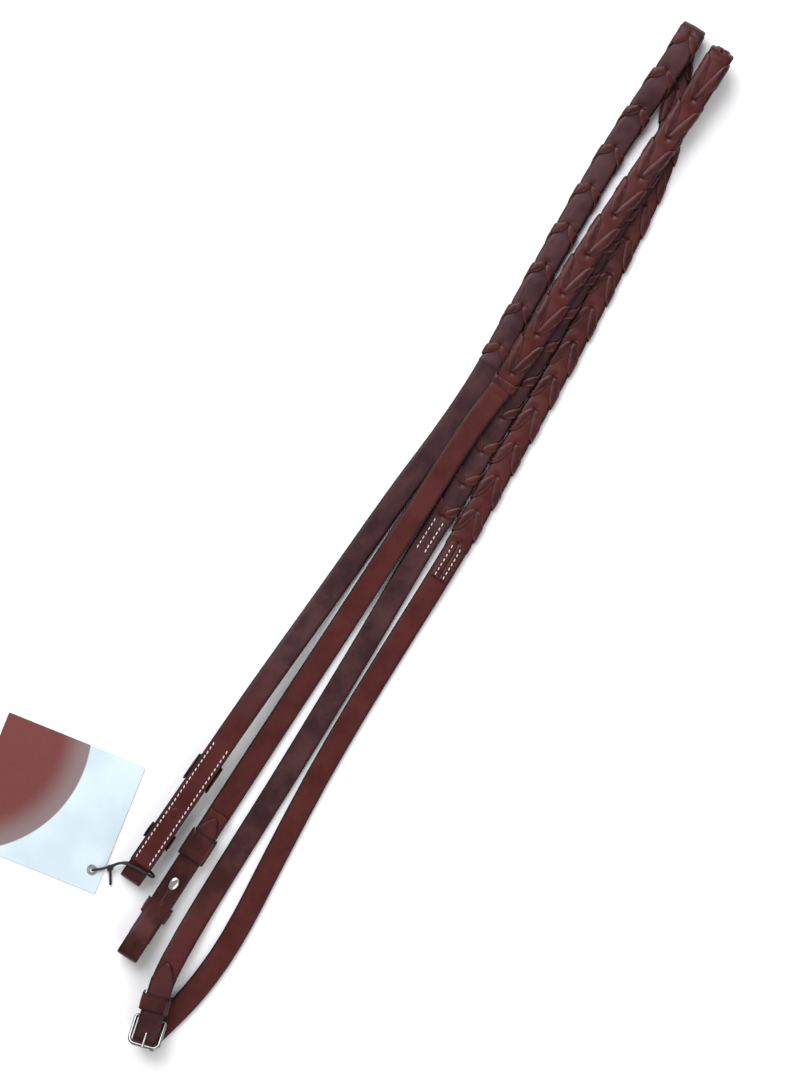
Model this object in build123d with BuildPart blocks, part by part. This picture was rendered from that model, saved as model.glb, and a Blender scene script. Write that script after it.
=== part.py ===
"""A pair of laced leather reins, folded in two and laid flat, with buckle, hook studs and swing tag.

Each half of the reins is one leather strap.  It runs up the bundle from its bit end, turns over at
the top fold and comes back to the hand end, where a small buckle joins the two halves.  The off
half carries the hand billet, the near half carries the buckle.  Lengths are in millimetres, +Y runs
from the hand end to the top fold and +Z points up from the surface that the reins lie on.
"""

from build123d import *
import os
from math import atan2, cos, degrees, hypot, pi, radians, sin, tan

# ---------------------------------------------------------------- driving dimensions
STRAP_WIDTH = 15.6
STRAP_THICK = 3.2
LACE_WIDTH = 6.0
LACE_THICK = 1.15
LACE_GAP = 0.05
LACED_WIDTH = 17.2
LACE_HOLE_R = 2.0
LACE_POST_R = 1.5
ARM_BACK = 8.5  # how far before its hole the lace crosses the strap's edge
OFF_PITCH_UP, OFF_PITCH_DOWN = 30.0, 25.4
NEAR_PITCH_UP, NEAR_PITCH_DOWN = 30.6, 25.2

BILLET_WIDTH = 15.0
BILLET_THICK = 2.6
BILLET_LAP = 112.0  # stitched length, from the end of the bit loop
BILLET_RETURN = 108.0
LOOP_RADIUS = 4.3
UPPER_KEEPER_AT, LOWER_KEEPER_AT, STUD_AT = 86.0, 36.0, 55.0
KEEPER_WALL = 1.4
LOWER_KEEPER_RISE = 1.1  # the billet still stands high where the lower keeper crosses it
UPPER_KEEPER_LONG, LOWER_KEEPER_LONG = 19.0, 11.0
STITCH_LONG, STITCH_WIDE, STITCH_PITCH, STITCH_PROUD = 2.3, 0.8, 3.4, 0.35
STITCH_INSET = 2.6  # from the strap's edge

BAR_R = 1.25
FRAME_INSIDE_WIDE, FRAME_LONG, FRAME_CORNER = 17.4, 19.0, 4.0
TONGUE_R = 0.9
BAR_CLEARANCE = 0.35  # room for the bar to turn in the chape's fold
HAND_FOLD_R = 6.35

STUD_STEM_R, STUD_HEAD_WIDE, STUD_HEAD_LONG, STUD_HEAD_HIGH = 1.6, 6.2, 9.4, 2.2
SLIT_WIDE, SLIT_LONG = 0.8, 14.0
WASHER_R, WASHER_THICK = 3.6, 0.8
HEEL_CORNER = 1.6
TONGUE_EYE_R, TONGUE_EYE_LONG = 2.5, 3.6

CARD_LONG, CARD_WIDE, CARD_THICK = 97.0, 90.0, 0.7
CARD_MIDDLE, CARD_TURN, CARD_LIFT = (-106.9, -272.2), 8.0, 0.1
EYELET_R, EYELET_BORE_R = 2.6, 1.7
TAG_HOLE = (-62.0, -297.0)
STRING_D = 1.8
KNOT, KNOT_R = (-52.2, -289.9, 3.0), 2.5
STRING_ROUTE = [
    (-46.5, -299.5, 1.0), (-49.0, -295.0, 1.3), (-51.6, -290.6, 3.0), (-50.6, -285.6, 7.4),
    (-47.4, -281.4, 11.8), (-42.6, -279.8, 13.5), (-36.2, -278.9, 13.8), (-29.8, -279.0, 13.5),
    (-25.0, -279.6, 11.6), (-24.0, -279.0, 8.2), (-26.8, -278.2, 5.9), (-31.6, -277.9, 5.4),
    (-37.6, -278.3, 5.8), (-44.2, -280.2, 5.6), (-49.2, -284.2, 5.0), (-52.8, -288.8, 3.2),
    (-56.2, -292.6, 2.2), (-59.4, -295.2, 2.5), (-62.0, -297.0, 1.95),
]

# ---------------------------------------------------------------- worked-out heights
STRAP_Z = STRAP_THICK / 2
LACED_HALF = STRAP_THICK / 2 + LACE_GAP + LACE_THICK
LACED_Z = LACED_HALF
STACK = 2 * LACED_HALF + 0.3  # one laced strap on another
TOP_LACE_Z = LACED_Z + STACK
THIRD_LAYER_Z = LACED_Z + 2 * STACK
OFF_FOLD_Z = 13.6
NEAR_FOLD_Z = 21.4
LINING_W = STRAP_THICK + BILLET_THICK / 2
LOOP_W = LINING_W + 2 * LOOP_RADIUS
RETURN_W = LINING_W + BILLET_THICK + 0.1
OFF_END_TOP = LOOP_W + BILLET_THICK / 2
OFF_END_Z = OFF_END_TOP - STRAP_THICK / 2
NEAR_HAND_Z = 10.9
CHAPE_R = BAR_R + 0.15 + STRAP_THICK / 2
BILLET_Z = STRAP_Z + 2 * HAND_FOLD_R
BAR_Z = NEAR_HAND_Z - CHAPE_R
TURNBACK_Z = NEAR_HAND_Z - STRAP_THICK - 0.15

# ---------------------------------------------------------------- where the straps lie, in plan
OFF_END = (-36.8, -290.0)
OFF_END_TURN = 4.4  # degrees that the bit end points off the Y axis
NEAR_END = (-13.4, -334.0)
NEAR_END_TURN = 2.9
NEAR_END_LIFT = 0.85  # the washer and the stitches stand proud below the near bit end
SKIVE = 14.0  # the strap stops this far short of its bit loop


def along(point, turn, distance):
    """The plan point a distance from another, in the direction that is turned from +Y towards +X."""
    return (point[0] + distance * sin(radians(turn)), point[1] + distance * cos(radians(turn)))


OFF_FOLD_X, OFF_FOLD_Y = 4.6, 380.0
NEAR_FOLD_X, NEAR_FOLD_Y = 28.4, 374.0
OFF_UP_PLAN = [
    along(OFF_END, OFF_END_TURN, SKIVE), along(OFF_END, OFF_END_TURN, 150),
    (-17.9, -66), (-12.0, 0), (-9.2, 28), (-4.6, 64), (-1.2, 105), (-1.4, 160), (-2.0, 225),
    (-1.6, 285), (OFF_FOLD_X - 2.4, 335), (OFF_FOLD_X, 360), (OFF_FOLD_X, OFF_FOLD_Y + 6),
]
OFF_DOWN_PLAN = [
    (OFF_FOLD_X, OFF_FOLD_Y + 6), (OFF_FOLD_X, 366), (15.5, 338), (29.0, 306), (34.4, 268),
    (37.0, 215), (39.6, 150), (39.8, 60), (40.2, 0), (38.2, -55), (36.2, -115), (36.0, -172),
    (38.4, -232), (40.8, -275), (40.4, -306), (36.4, -336), (30.0, -360), (25.6, -374),
    (24.2, -392),
]
HAND_FOLD_Y = -377.8
BILLET_TIP = (12.2, -322.0)
BILLET_PLAN = [(26.2, -392), (23.7, -372), (20.0, -357), BILLET_TIP]
NEAR_UP_PLAN = [
    along(NEAR_END, NEAR_END_TURN, SKIVE), along(NEAR_END, NEAR_END_TURN, 140),
    (-3.6, -145), (-0.2, -86), (1.5, -55), (4.0, -8), (6.3, 25), (7.4, 58), (9.6, 90), (13.4, 115),
    (15.4, 155), (17.0, 205), (20.4, 250), (24.4, 294), (27.2, 332), (NEAR_FOLD_X, 358),
    (NEAR_FOLD_X, NEAR_FOLD_Y + 6),
]
NEAR_DOWN_PLAN = [
    (NEAR_FOLD_X, NEAR_FOLD_Y + 6), (NEAR_FOLD_X, 350), (26.6, 318), (23.6, 255), (22.2, 195),
    (22.2, 60), (22.0, 28), (20.2, -4), (20.0, -60), (18.9, -120), (17.4, -185), (14.9, -250),
    (13.6, -300), (14.6, -334), (20.2, -358), (24.2, -374), (27.6, -387),
]
BUCKLE_TURN = 14.0  # degrees from -Y towards +X
BUCKLE_BAR = (20.9, -361.0)

# ---------------------------------------------------------------- how the straps rise and fall
OFF_MID_Z = (OFF_FOLD_Z + LACED_Z) / 2
NEAR_DOWN_Z = LACED_Z + STACK
NEAR_MID_Z = (NEAR_FOLD_Z + NEAR_DOWN_Z) / 2
HAND_MID_Z = (BILLET_Z + STRAP_Z) / 2
OFF_UP_SIDE = [
    (-290, OFF_END_Z), (-134, OFF_END_Z), (-60, STRAP_Z), (84, STRAP_Z), (112, LACED_Z),
    (285, LACED_Z), (338, TOP_LACE_Z + 0.8), (362, OFF_FOLD_Z), (OFF_FOLD_Y, OFF_FOLD_Z),
    (OFF_FOLD_Y, OFF_MID_Z),
]
OFF_DOWN_SIDE = [
    (OFF_FOLD_Y, OFF_MID_Z), (OFF_FOLD_Y, LACED_Z), (-24, LACED_Z), (-50, STRAP_Z),
    (HAND_FOLD_Y, STRAP_Z), (HAND_FOLD_Y, HAND_MID_Z),
]
BILLET_SIDE = [(HAND_FOLD_Y, HAND_MID_Z), (HAND_FOLD_Y, BILLET_Z), (-318, BILLET_Z)]
NEAR_UP_SIDE = [
    (-334, STRAP_Z + NEAR_END_LIFT), (-200, STRAP_Z + NEAR_END_LIFT), (-140, STRAP_Z), (-70, STRAP_Z),
    (-12, 7.9), (44, 8.4), (90, TOP_LACE_Z + 0.3), (108, TOP_LACE_Z + 0.3),
    (168, THIRD_LAYER_Z + 0.3), (318, THIRD_LAYER_Z + 0.3), (358, NEAR_FOLD_Z),
    (NEAR_FOLD_Y, NEAR_FOLD_Z), (NEAR_FOLD_Y, NEAR_MID_Z),
]
BAR_Y = BUCKLE_BAR[1]
NEAR_DOWN_SIDE = [
    (NEAR_FOLD_Y, NEAR_MID_Z), (NEAR_FOLD_Y, NEAR_DOWN_Z), (160, NEAR_DOWN_Z), (98, LACED_Z),
    (-14, LACED_Z), (-40, STRAP_Z), (-282, STRAP_Z), (-328, NEAR_HAND_Z),
    (BAR_Y - CHAPE_R, NEAR_HAND_Z), (BAR_Y - CHAPE_R, BAR_Z),
]
TURNBACK_SIDE = [
    (BAR_Y - CHAPE_R, BAR_Z), (BAR_Y - CHAPE_R, NEAR_HAND_Z - 2 * CHAPE_R),
    (-357.5, NEAR_HAND_Z - 2 * CHAPE_R), (-350, TURNBACK_Z), (-330, TURNBACK_Z),
]
# ---------------------------------------------------------------- lace holes, by their place along Y
OFF_UP_HOLES = [138.6 + OFF_PITCH_UP * step for step in range(8)]
OFF_DOWN_HOLES = [11.0 + OFF_PITCH_DOWN * step for step in range(14)]
NEAR_UP_HOLES = [124.0 + NEAR_PITCH_UP * step for step in range(8)]
NEAR_DOWN_HOLES = [20.2 + NEAR_PITCH_DOWN * step for step in range(14)]
REACH = 80.0  # half width of the bands that the side profiles are drawn out to
HIGH = 40.0


def corner_radii(points, share=0.45, tight=None):
    """The largest tangent arcs that the runs allow, with set radii at the corners named in tight."""
    radii = []
    for index in range(1, len(points) - 1):
        before, here, after = (Vector(*point) for point in points[index - 1:index + 2])
        turn = (here - before).get_angle(after - here)
        run = min((here - before).length, (after - here).length)
        largest = share * run / tan(radians(turn / 2))
        radii.append((tight or {}).get(index, largest))
    return radii


def shifted(points, radii, shift):
    """The same route and arcs, moved sideways to the left of its direction."""
    moved, arcs = [], []
    for index, point in enumerate(points):
        here = Vector(*point)
        before = here - Vector(*points[index - 1]) if index else None
        after = Vector(*points[index + 1]) - here if index < len(points) - 1 else None
        first = (before or after).normalized()
        second = (after or before).normalized()
        left_1, left_2 = Vector(-first.Y, first.X), Vector(-second.Y, second.X)
        mitre = (left_1 + left_2) * (shift / (1 + left_1.dot(left_2)))
        moved.append((here.X + mitre.X, here.Y + mitre.Y))
        if before and after:
            side = 1 if first.X * second.Y - first.Y * second.X > 0 else -1
            arcs.append(radii[index - 1] - shift * side)
    return moved, arcs


def band(plan, side, width, thick, shift=0.0, tight=None):
    """A strip of leather: its side profile drawn across, cut to its outline in plan."""
    route, arcs = shifted(side, corner_radii(side, tight=tight), shift)
    with BuildPart() as strip:
        with BuildSketch(Plane.YZ.offset(-REACH)):
            with BuildLine():
                FilletPolyline(*route, radius=arcs)
            trace(line_width=thick)
        extrude(amount=2 * REACH)
        with BuildSketch(Plane.XY.offset(-HIGH)):
            with BuildLine():
                FilletPolyline(*plan, radius=corner_radii(plan))
            trace(line_width=width)
        extrude(amount=2 * HIGH, mode=Mode.INTERSECT)
    return strip.part


def seat(plan, place):
    """The centre line's plan point at a place along Y, and how far it is turned from +Y to +X."""
    for first, second in zip(plan, plan[1:]):
        low, high = min(first[1], second[1]), max(first[1], second[1])
        if low <= place <= high:
            share = (place - first[1]) / (second[1] - first[1])
            across = first[0] + share * (second[0] - first[0])
            rise = 1 if second[1] > first[1] else -1
            return across, degrees(atan2(rise * (second[0] - first[0]), high - low))
    raise ValueError(f"no strap at {place}")


def windows(plan, holes, direction):
    """Plan shape of the kites of bare strap that show between two crossings of the lace."""
    with BuildSketch(Plane.XY.offset(-HIGH)) as shape:
        for hole, following in zip(holes, holes[1:]):
            across, turn = seat(plan, (hole + following) / 2)
            lean = tan(radians(turn))
            start, wide, end = hole + direction * 4.2, following - direction * ARM_BACK, following - direction * 4.2
            centre = [across + (place - (hole + following) / 2) * lean for place in (start, wide, end)]
            half = STRAP_WIDTH / 2 - 1.4
            with BuildLine():
                Polyline((centre[0], start), (centre[1] - half, wide), (centre[2], end),
                         (centre[1] + half, wide), close=True)
            make_face()
    return shape.sketch


def stretch(plan, first, last):
    """Plan shape of a strap's stretch between two places along Y, wider than the lace."""
    low, high = min(first, last), max(first, last)
    with BuildSketch(Plane.XY.offset(-HIGH)) as shape:
        with Locations((seat(plan, (low + high) / 2)[0], (low + high) / 2)):
            Rectangle(REACH, high - low)
    return shape.sketch


def posts(plan, holes, radius):
    """Plan shape of round posts or holes on the strap's centre line."""
    with BuildSketch(Plane.XY.offset(-HIGH)) as shape:
        with Locations(*[(seat(plan, hole)[0], hole) for hole in holes]):
            Circle(radius)
    return shape.sketch


def cut_from(strip, shape):
    """What of a strip lies over a plan shape."""
    with BuildPart() as piece:
        add(strip)
        extrude(shape, amount=2 * HIGH, mode=Mode.INTERSECT)
    return piece.part


def lace_run(plan, side, holes, direction, tight, before, after):
    """The lace on one limb: a thin sleeve with kite windows, and the stretches in its holes.

    direction is +1 where the rein runs up the bundle and -1 where it comes back down.
    before and after say how far the lace reaches past the first and the last hole.
    """
    ordered = sorted(holes, key=lambda hole: direction * hole)
    first, last = ordered[0] - direction * before, ordered[-1] + direction * after
    core = band(plan, side, STRAP_WIDTH + 2 * LACE_GAP, STRAP_THICK + 2 * LACE_GAP, 0, tight)
    filling = band(plan, side, STRAP_WIDTH, 2 * LACED_HALF - LACE_THICK, 0, tight)
    with BuildPart() as run:
        add(cut_from(band(plan, side, LACED_WIDTH, 2 * LACED_HALF, 0, tight), stretch(plan, first, last)))
        add(core, mode=Mode.SUBTRACT)
        extrude(windows(plan, ordered, direction), amount=2 * HIGH, mode=Mode.SUBTRACT)
        add(cut_from(filling, posts(plan, ordered, LACE_POST_R)))
    return run.part


def stitch_rows(spots, top, proud, turn):
    """Thread stitches lying on a level face, one small bar for each."""
    with BuildPart() as thread:
        with BuildSketch(Plane.XY.offset(top)):
            for spot in spots:
                with Locations(spot):
                    Rectangle(STITCH_WIDE, STITCH_LONG, rotation=-turn)
        extrude(amount=proud)
    return thread.part


def keep(part, name):
    """Label a finished piece and write it out."""
    part.label = name
    export_step(part, f"parts/{name}.step")
    solids = part.solids()
    print(f"{name}: {len(solids)} solids, {sum(solid.volume for solid in solids):.0f} mm3", flush=True)
    return part


os.makedirs("parts", exist_ok=True)

# ---------------------------------------------------------------- the folds, kept just off a half circle
NEARLY = 0.98
OFF_TOP_R = NEARLY * (OFF_FOLD_Z - LACED_Z) / 2
NEAR_TOP_R = NEARLY * (NEAR_FOLD_Z - NEAR_DOWN_Z) / 2
HAND_R = NEARLY * HAND_FOLD_R
BAR_WRAP_R = NEARLY * CHAPE_R
OFF_UP_TIGHT, OFF_DOWN_TIGHT = {8: OFF_TOP_R}, {1: OFF_TOP_R, 4: HAND_R}
BILLET_TIGHT = {1: HAND_R}
NEAR_UP_TIGHT, NEAR_DOWN_TIGHT = {11: NEAR_TOP_R}, {1: NEAR_TOP_R, 8: BAR_WRAP_R}
TURNBACK_TIGHT = {1: BAR_WRAP_R}

# ---------------------------------------------------------------- placing the bit ends and the buckle
OFF_SEAT = Location((OFF_END[0], OFF_END[1], OFF_END_TOP), (0, 180, 0)) * Location(
    (0, 0, 0), (0, 0, OFF_END_TURN))
NEAR_SEAT = Location((NEAR_END[0], NEAR_END[1], NEAR_END_LIFT), (0, 0, -NEAR_END_TURN))
OUTER_BAR_Z = BILLET_Z + STRAP_THICK / 2 + 0.4 + BAR_R
FRAME_TILT = degrees(atan2(OUTER_BAR_Z - BAR_Z, (FRAME_LONG ** 2 - (OUTER_BAR_Z - BAR_Z) ** 2) ** 0.5))
BUCKLE_LEVEL = Location((BUCKLE_BAR[0], BUCKLE_BAR[1], BAR_Z), (0, 0, 180 + BUCKLE_TURN))
BUCKLE_SEAT = BUCKLE_LEVEL * Location((0, 0, 0), (FRAME_TILT, 0, 0))
TONGUE_SLOT = (-0.5, 10.9)
TONGUE_SLOT_WIDE = 3.4
CHAPE_SLOT_WIDE, CHAPE_SLOT = 5.0, (-5.0, 6.0)
TONGUE_LIFT = 0.12


def slot_at(location, span, wide, low, high):
    """A closed block that cuts a slot, spanning from low to high in its own upright frame."""
    middle = Location((0, (span[0] + span[1]) / 2, (low + high) / 2))
    return location * middle * Box(wide, span[1] - span[0], high - low)


# ---------------------------------------------------------------- the two straps, limb by limb
billet_slot = slot_at(BUCKLE_LEVEL, TONGUE_SLOT, TONGUE_SLOT_WIDE, BILLET_Z - BAR_Z - 3, 20)
with BuildPart() as hand_billet:
    add(band(BILLET_PLAN, BILLET_SIDE, STRAP_WIDTH, STRAP_THICK, 0, BILLET_TIGHT))
    add(billet_slot, mode=Mode.SUBTRACT)
    tip_turn = degrees(atan2(BILLET_TIP[0] - 20.0, BILLET_TIP[1] + 357))
    for edge in (-1, 1):
        with BuildSketch(Plane.XY.offset(-HIGH)):
            with Locations(Location((BILLET_TIP[0], BILLET_TIP[1], 0), (0, 0, -tip_turn))):
                Polygon((0, 0.2), (edge * 9, 0.2), (edge * 9, -11), (edge * 7.9, -11), (edge * 2, 0),
                        align=None)
        extrude(amount=2 * HIGH, mode=Mode.SUBTRACT)

off_up = band(OFF_UP_PLAN, OFF_UP_SIDE, STRAP_WIDTH, STRAP_THICK, 0, OFF_UP_TIGHT)
off_down = band(OFF_DOWN_PLAN, OFF_DOWN_SIDE, STRAP_WIDTH, STRAP_THICK, 0, OFF_DOWN_TIGHT)
near_up = band(NEAR_UP_PLAN, NEAR_UP_SIDE, STRAP_WIDTH, STRAP_THICK, 0, NEAR_UP_TIGHT)
near_down = band(NEAR_DOWN_PLAN, NEAR_DOWN_SIDE, STRAP_WIDTH, STRAP_THICK, 0, NEAR_DOWN_TIGHT)


def punched(strip, plan, holes):
    """A limb of a strap with its row of lace holes."""
    with BuildPart() as limb:
        add(strip)
        extrude(posts(plan, holes, LACE_HOLE_R), amount=2 * HIGH, mode=Mode.SUBTRACT)
    return limb.part


chape_slot = slot_at(BUCKLE_LEVEL, CHAPE_SLOT, CHAPE_SLOT_WIDE, -8, 8)
stud_hole = Location((0, STUD_AT, 0)) * Cylinder(STUD_STEM_R + 0.1, HIGH)
off_stud_hole, near_stud_hole = OFF_SEAT * stud_hole, NEAR_SEAT * stud_hole
bar_room = BUCKLE_LEVEL * Location((0, 0, 0), (0, 90, 0)) * Cylinder(
    BAR_R + BAR_CLEARANCE, FRAME_INSIDE_WIDE + 2 * BAR_R)
with BuildPart() as off_rein_strap:
    add(punched(off_up, OFF_UP_PLAN, OFF_UP_HOLES))
    add(off_stud_hole, mode=Mode.SUBTRACT)
keep(off_rein_strap.part, "off_rein_strap")
off_rein_return = punched(off_down, OFF_DOWN_PLAN, OFF_DOWN_HOLES)
keep(off_rein_return, "off_rein_return")
keep(hand_billet.part, "off_hand_billet")

with BuildPart() as near_rein_strap:
    add(punched(near_up, NEAR_UP_PLAN, NEAR_UP_HOLES))
    add(near_stud_hole, mode=Mode.SUBTRACT)
keep(near_rein_strap.part, "near_rein_strap")

with BuildPart() as near_rein_return:
    add(punched(near_down, NEAR_DOWN_PLAN, NEAR_DOWN_HOLES))
    add(band(NEAR_DOWN_PLAN, TURNBACK_SIDE, STRAP_WIDTH, STRAP_THICK, 0, TURNBACK_TIGHT))
    add(chape_slot, mode=Mode.SUBTRACT)
    add(bar_room, mode=Mode.SUBTRACT)
keep(near_rein_return.part, "near_rein_return")

# ---------------------------------------------------------------- the laces
LACE_TAB = 29.0  # the two stitched ends
lacing = {
    "off_lace": (
        (OFF_UP_PLAN, OFF_UP_SIDE, OFF_UP_HOLES, OFF_UP_TIGHT),
        (OFF_DOWN_PLAN, OFF_DOWN_SIDE, OFF_DOWN_HOLES, OFF_DOWN_TIGHT)),
    "near_lace": (
        (NEAR_UP_PLAN, NEAR_UP_SIDE, NEAR_UP_HOLES, NEAR_UP_TIGHT),
        (NEAR_DOWN_PLAN, NEAR_DOWN_SIDE, NEAR_DOWN_HOLES, NEAR_DOWN_TIGHT)),
}
for name, (up, down) in lacing.items():
    up_run = lace_run(*up[:3], 1, up[3], ARM_BACK + LACE_WIDTH / 2, ARM_BACK)
    down_run = lace_run(*down[:3], -1, down[3], ARM_BACK + LACE_WIDTH / 2, LACE_TAB)
    keep(Compound(children=[*up_run.solids(), *down_run.solids()]), name)


def lace_end_stitches(plan, last_hole, top):
    """Two rows of thread that hold the lace's ends down, seen on the upper face."""
    spots = []
    for step in range(7):
        place = last_hole - 5 - STITCH_PITCH * step
        across, turn = seat(plan, place)
        spots += [(across + edge * LACE_WIDTH / 2, place) for edge in (-1, 1)]
    return stitch_rows(spots, top, STITCH_PROUD, turn)


keep(lace_end_stitches(OFF_DOWN_PLAN, OFF_DOWN_HOLES[0], LACED_Z + LACED_HALF), "off_lace_stitching")
keep(lace_end_stitches(NEAR_DOWN_PLAN, NEAR_DOWN_HOLES[0] + 1, LACED_Z + LACED_HALF), "near_lace_stitching")

# ---------------------------------------------------------------- the bit ends, each in its own frame
# Here +Y runs from the bit loop into the rein and +Z from the strap's outer face to its inner side.
BILLET_PATH = [
    (BILLET_LAP, LINING_W), (BILLET_THICK / 2, LINING_W), (BILLET_THICK / 2, LOOP_W), (16, LOOP_W),
    (32, RETURN_W), (BILLET_RETURN, RETURN_W),
]


def bit_end(side_name, location):
    """The billet, hook stud, washer, keepers and stitching of one bit end."""
    with BuildPart() as billet:
        with BuildSketch(Plane.YZ.offset(-BILLET_WIDTH / 2)):
            with BuildLine():
                FilletPolyline(*BILLET_PATH, radius=corner_radii(
                    BILLET_PATH, tight={1: NEARLY * LOOP_RADIUS, 2: NEARLY * LOOP_RADIUS}))
            trace(line_width=BILLET_THICK)
        extrude(amount=BILLET_WIDTH)
        with BuildSketch(Plane.XY.offset(RETURN_W - BILLET_THICK / 2)):
            for edge in (-1, 1):
                with BuildLine():
                    Polyline((edge * 2, BILLET_RETURN), (edge * 9, BILLET_RETURN),
                             (edge * 9, BILLET_RETURN - 11), (edge * 7.5, BILLET_RETURN - 11), close=True)
                make_face()
        extrude(amount=BILLET_THICK, mode=Mode.SUBTRACT)
        with BuildSketch(Plane.XY):
            with Locations((0, STUD_AT)):
                Circle(STUD_STEM_R + 0.1)
            with Locations((0, STUD_AT - SLIT_LONG / 2)):
                Rectangle(SLIT_WIDE, SLIT_LONG)
        extrude(amount=HIGH, mode=Mode.SUBTRACT)
    keep(location * billet.part, f"{side_name}_billet")

    with BuildPart() as hook_stud:
        with BuildSketch(Plane.XY.offset(0.0)):
            with Locations((0, STUD_AT)):
                Circle(STUD_STEM_R)
        extrude(amount=RETURN_W + BILLET_THICK / 2 + 0.9)
        with BuildSketch(Plane.XY.offset(RETURN_W + BILLET_THICK / 2 + 0.2)):
            with Locations((0, STUD_AT + STUD_HEAD_LONG / 2 - STUD_STEM_R - 0.4)):
                Ellipse(STUD_HEAD_WIDE / 2, STUD_HEAD_LONG / 2)
        extrude(amount=STUD_HEAD_HIGH)
        fillet(hook_stud.edges().group_by(Axis.Z)[-1], STUD_HEAD_HIGH * 0.7)
    keep(location * hook_stud.part, f"{side_name}_hook_stud")

    with BuildPart() as washer:
        with BuildSketch(Plane.XY.offset(-WASHER_THICK)):
            with Locations((0, STUD_AT)):
                Circle(WASHER_R)
        extrude(amount=WASHER_THICK)
    keep(location * washer.part, f"{side_name}_stud_washer")

    return_top = RETURN_W + BILLET_THICK / 2
    for name, at, long, top in (
            ("upper_keeper", UPPER_KEEPER_AT, UPPER_KEEPER_LONG, return_top + 0.15),
            ("lower_keeper", LOWER_KEEPER_AT, LOWER_KEEPER_LONG, return_top + 0.15 + LOWER_KEEPER_RISE)):
        with BuildPart() as keeper:
            with BuildSketch(Plane.XZ.offset(-at - long / 2)):
                with Locations((0, (STRAP_THICK + 0.3 + top + KEEPER_WALL) / 2)):
                    Rectangle(STRAP_WIDTH + 2 * KEEPER_WALL + 0.5, top + KEEPER_WALL - STRAP_THICK - 0.3)
                with Locations((0, (STRAP_THICK + top) / 2 - 1)):
                    Rectangle(STRAP_WIDTH + 0.5, top - STRAP_THICK + 2, mode=Mode.SUBTRACT)
            extrude(amount=long)
            fillet(keeper.edges().filter_by(Axis.Y).group_by(Axis.Z)[-1], KEEPER_WALL * 0.6)
        keep(location * keeper.part, f"{side_name}_{name}")

    spots = []
    count = int((BILLET_LAP - SKIVE - 6) / STITCH_PITCH)
    for step in range(count):
        for edge in (-1, 1):
            spots.append((edge * (STRAP_WIDTH / 2 - STITCH_INSET), SKIVE + 4 + STITCH_PITCH * step))
    keep(location * stitch_rows(spots, -STITCH_PROUD, STITCH_PROUD, 0), f"{side_name}_billet_stitching")


bit_end("off", OFF_SEAT)
bit_end("near", NEAR_SEAT)

# ---------------------------------------------------------------- the hand buckle
HALF_FRAME = FRAME_INSIDE_WIDE / 2 + BAR_R
with BuildPart() as buckle_frame:
    with BuildLine() as rim:
        FilletPolyline((HALF_FRAME, 0), (HALF_FRAME, FRAME_LONG), (-HALF_FRAME, FRAME_LONG),
                       (-HALF_FRAME, 0), close=True,
                       radius=[HEEL_CORNER, FRAME_CORNER, FRAME_CORNER, HEEL_CORNER])
    with BuildSketch(Plane(origin=rim.line @ 0, z_dir=rim.line % 0)):
        Circle(BAR_R)
    sweep(path=rim.line)
keep(BUCKLE_SEAT * buckle_frame.part, "buckle_frame")

with BuildPart() as buckle_tongue:
    with BuildSketch(Plane.YZ.offset(-TONGUE_EYE_LONG / 2)):
        Circle(TONGUE_EYE_R)
    extrude(amount=TONGUE_EYE_LONG)
    with BuildSketch(Plane.XZ.offset(-1.0)):
        with Locations((0, TONGUE_EYE_R - TONGUE_R * 0.8)):
            Circle(TONGUE_R)
    with BuildSketch(Plane.XZ.offset(-FRAME_LONG - BAR_R - 0.8)):
        with Locations((0, BAR_R + TONGUE_R + TONGUE_LIFT)):
            Circle(TONGUE_R * 0.9)
    loft()
    with BuildSketch(Plane.YZ.offset(-TONGUE_EYE_LONG)):
        Circle(BAR_R + 0.05)
    extrude(amount=2 * TONGUE_EYE_LONG, mode=Mode.SUBTRACT)
keep(BUCKLE_SEAT * buckle_tongue.part, "buckle_tongue")

KEEPER_AT, HAND_KEEPER_LONG = 11.5, 11.0
keeper_low, keeper_high = TURNBACK_Z - STRAP_THICK / 2 - 0.6 - BAR_Z, BILLET_Z + STRAP_THICK / 2 + 0.15 - BAR_Z
with BuildPart() as buckle_keeper:
    with BuildSketch(Plane.XZ.offset(KEEPER_AT - HAND_KEEPER_LONG / 2)):
        with Locations((0, (keeper_low + keeper_high + KEEPER_WALL) / 2)):
            Rectangle(STRAP_WIDTH + 2 * KEEPER_WALL + 1.2, keeper_high + KEEPER_WALL - keeper_low)
        with Locations((0, (keeper_low + keeper_high) / 2 - 1)):
            Rectangle(STRAP_WIDTH + 1.2, keeper_high - keeper_low + 2, mode=Mode.SUBTRACT)
    extrude(amount=HAND_KEEPER_LONG)
    fillet(buckle_keeper.edges().filter_by(Axis.Y).group_by(Axis.Z)[-1], KEEPER_WALL * 0.6)
keep(BUCKLE_LEVEL * buckle_keeper.part, "buckle_keeper")

spots = []
for step in range(5):
    across, turn = seat(NEAR_DOWN_PLAN, -332 - STITCH_PITCH * step)
    spots += [(across + edge * (STRAP_WIDTH / 2 - STITCH_INSET), -332 - STITCH_PITCH * step) for edge in (-1, 1)]
keep(stitch_rows(spots, TURNBACK_Z - STRAP_THICK / 2, -STITCH_PROUD, turn), "buckle_stitching")

# ---------------------------------------------------------------- the swing tag and its string
with BuildPart() as tag_card:
    with BuildSketch(Plane.XY.offset(CARD_LIFT)):
        with Locations(Location((CARD_MIDDLE[0], CARD_MIDDLE[1], 0), (0, 0, CARD_TURN))):
            RectangleRounded(CARD_LONG, CARD_WIDE, 1.0)
        with Locations(TAG_HOLE):
            Circle(EYELET_R, mode=Mode.SUBTRACT)
    extrude(amount=CARD_THICK)
keep(tag_card.part, "tag_card")

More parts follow.
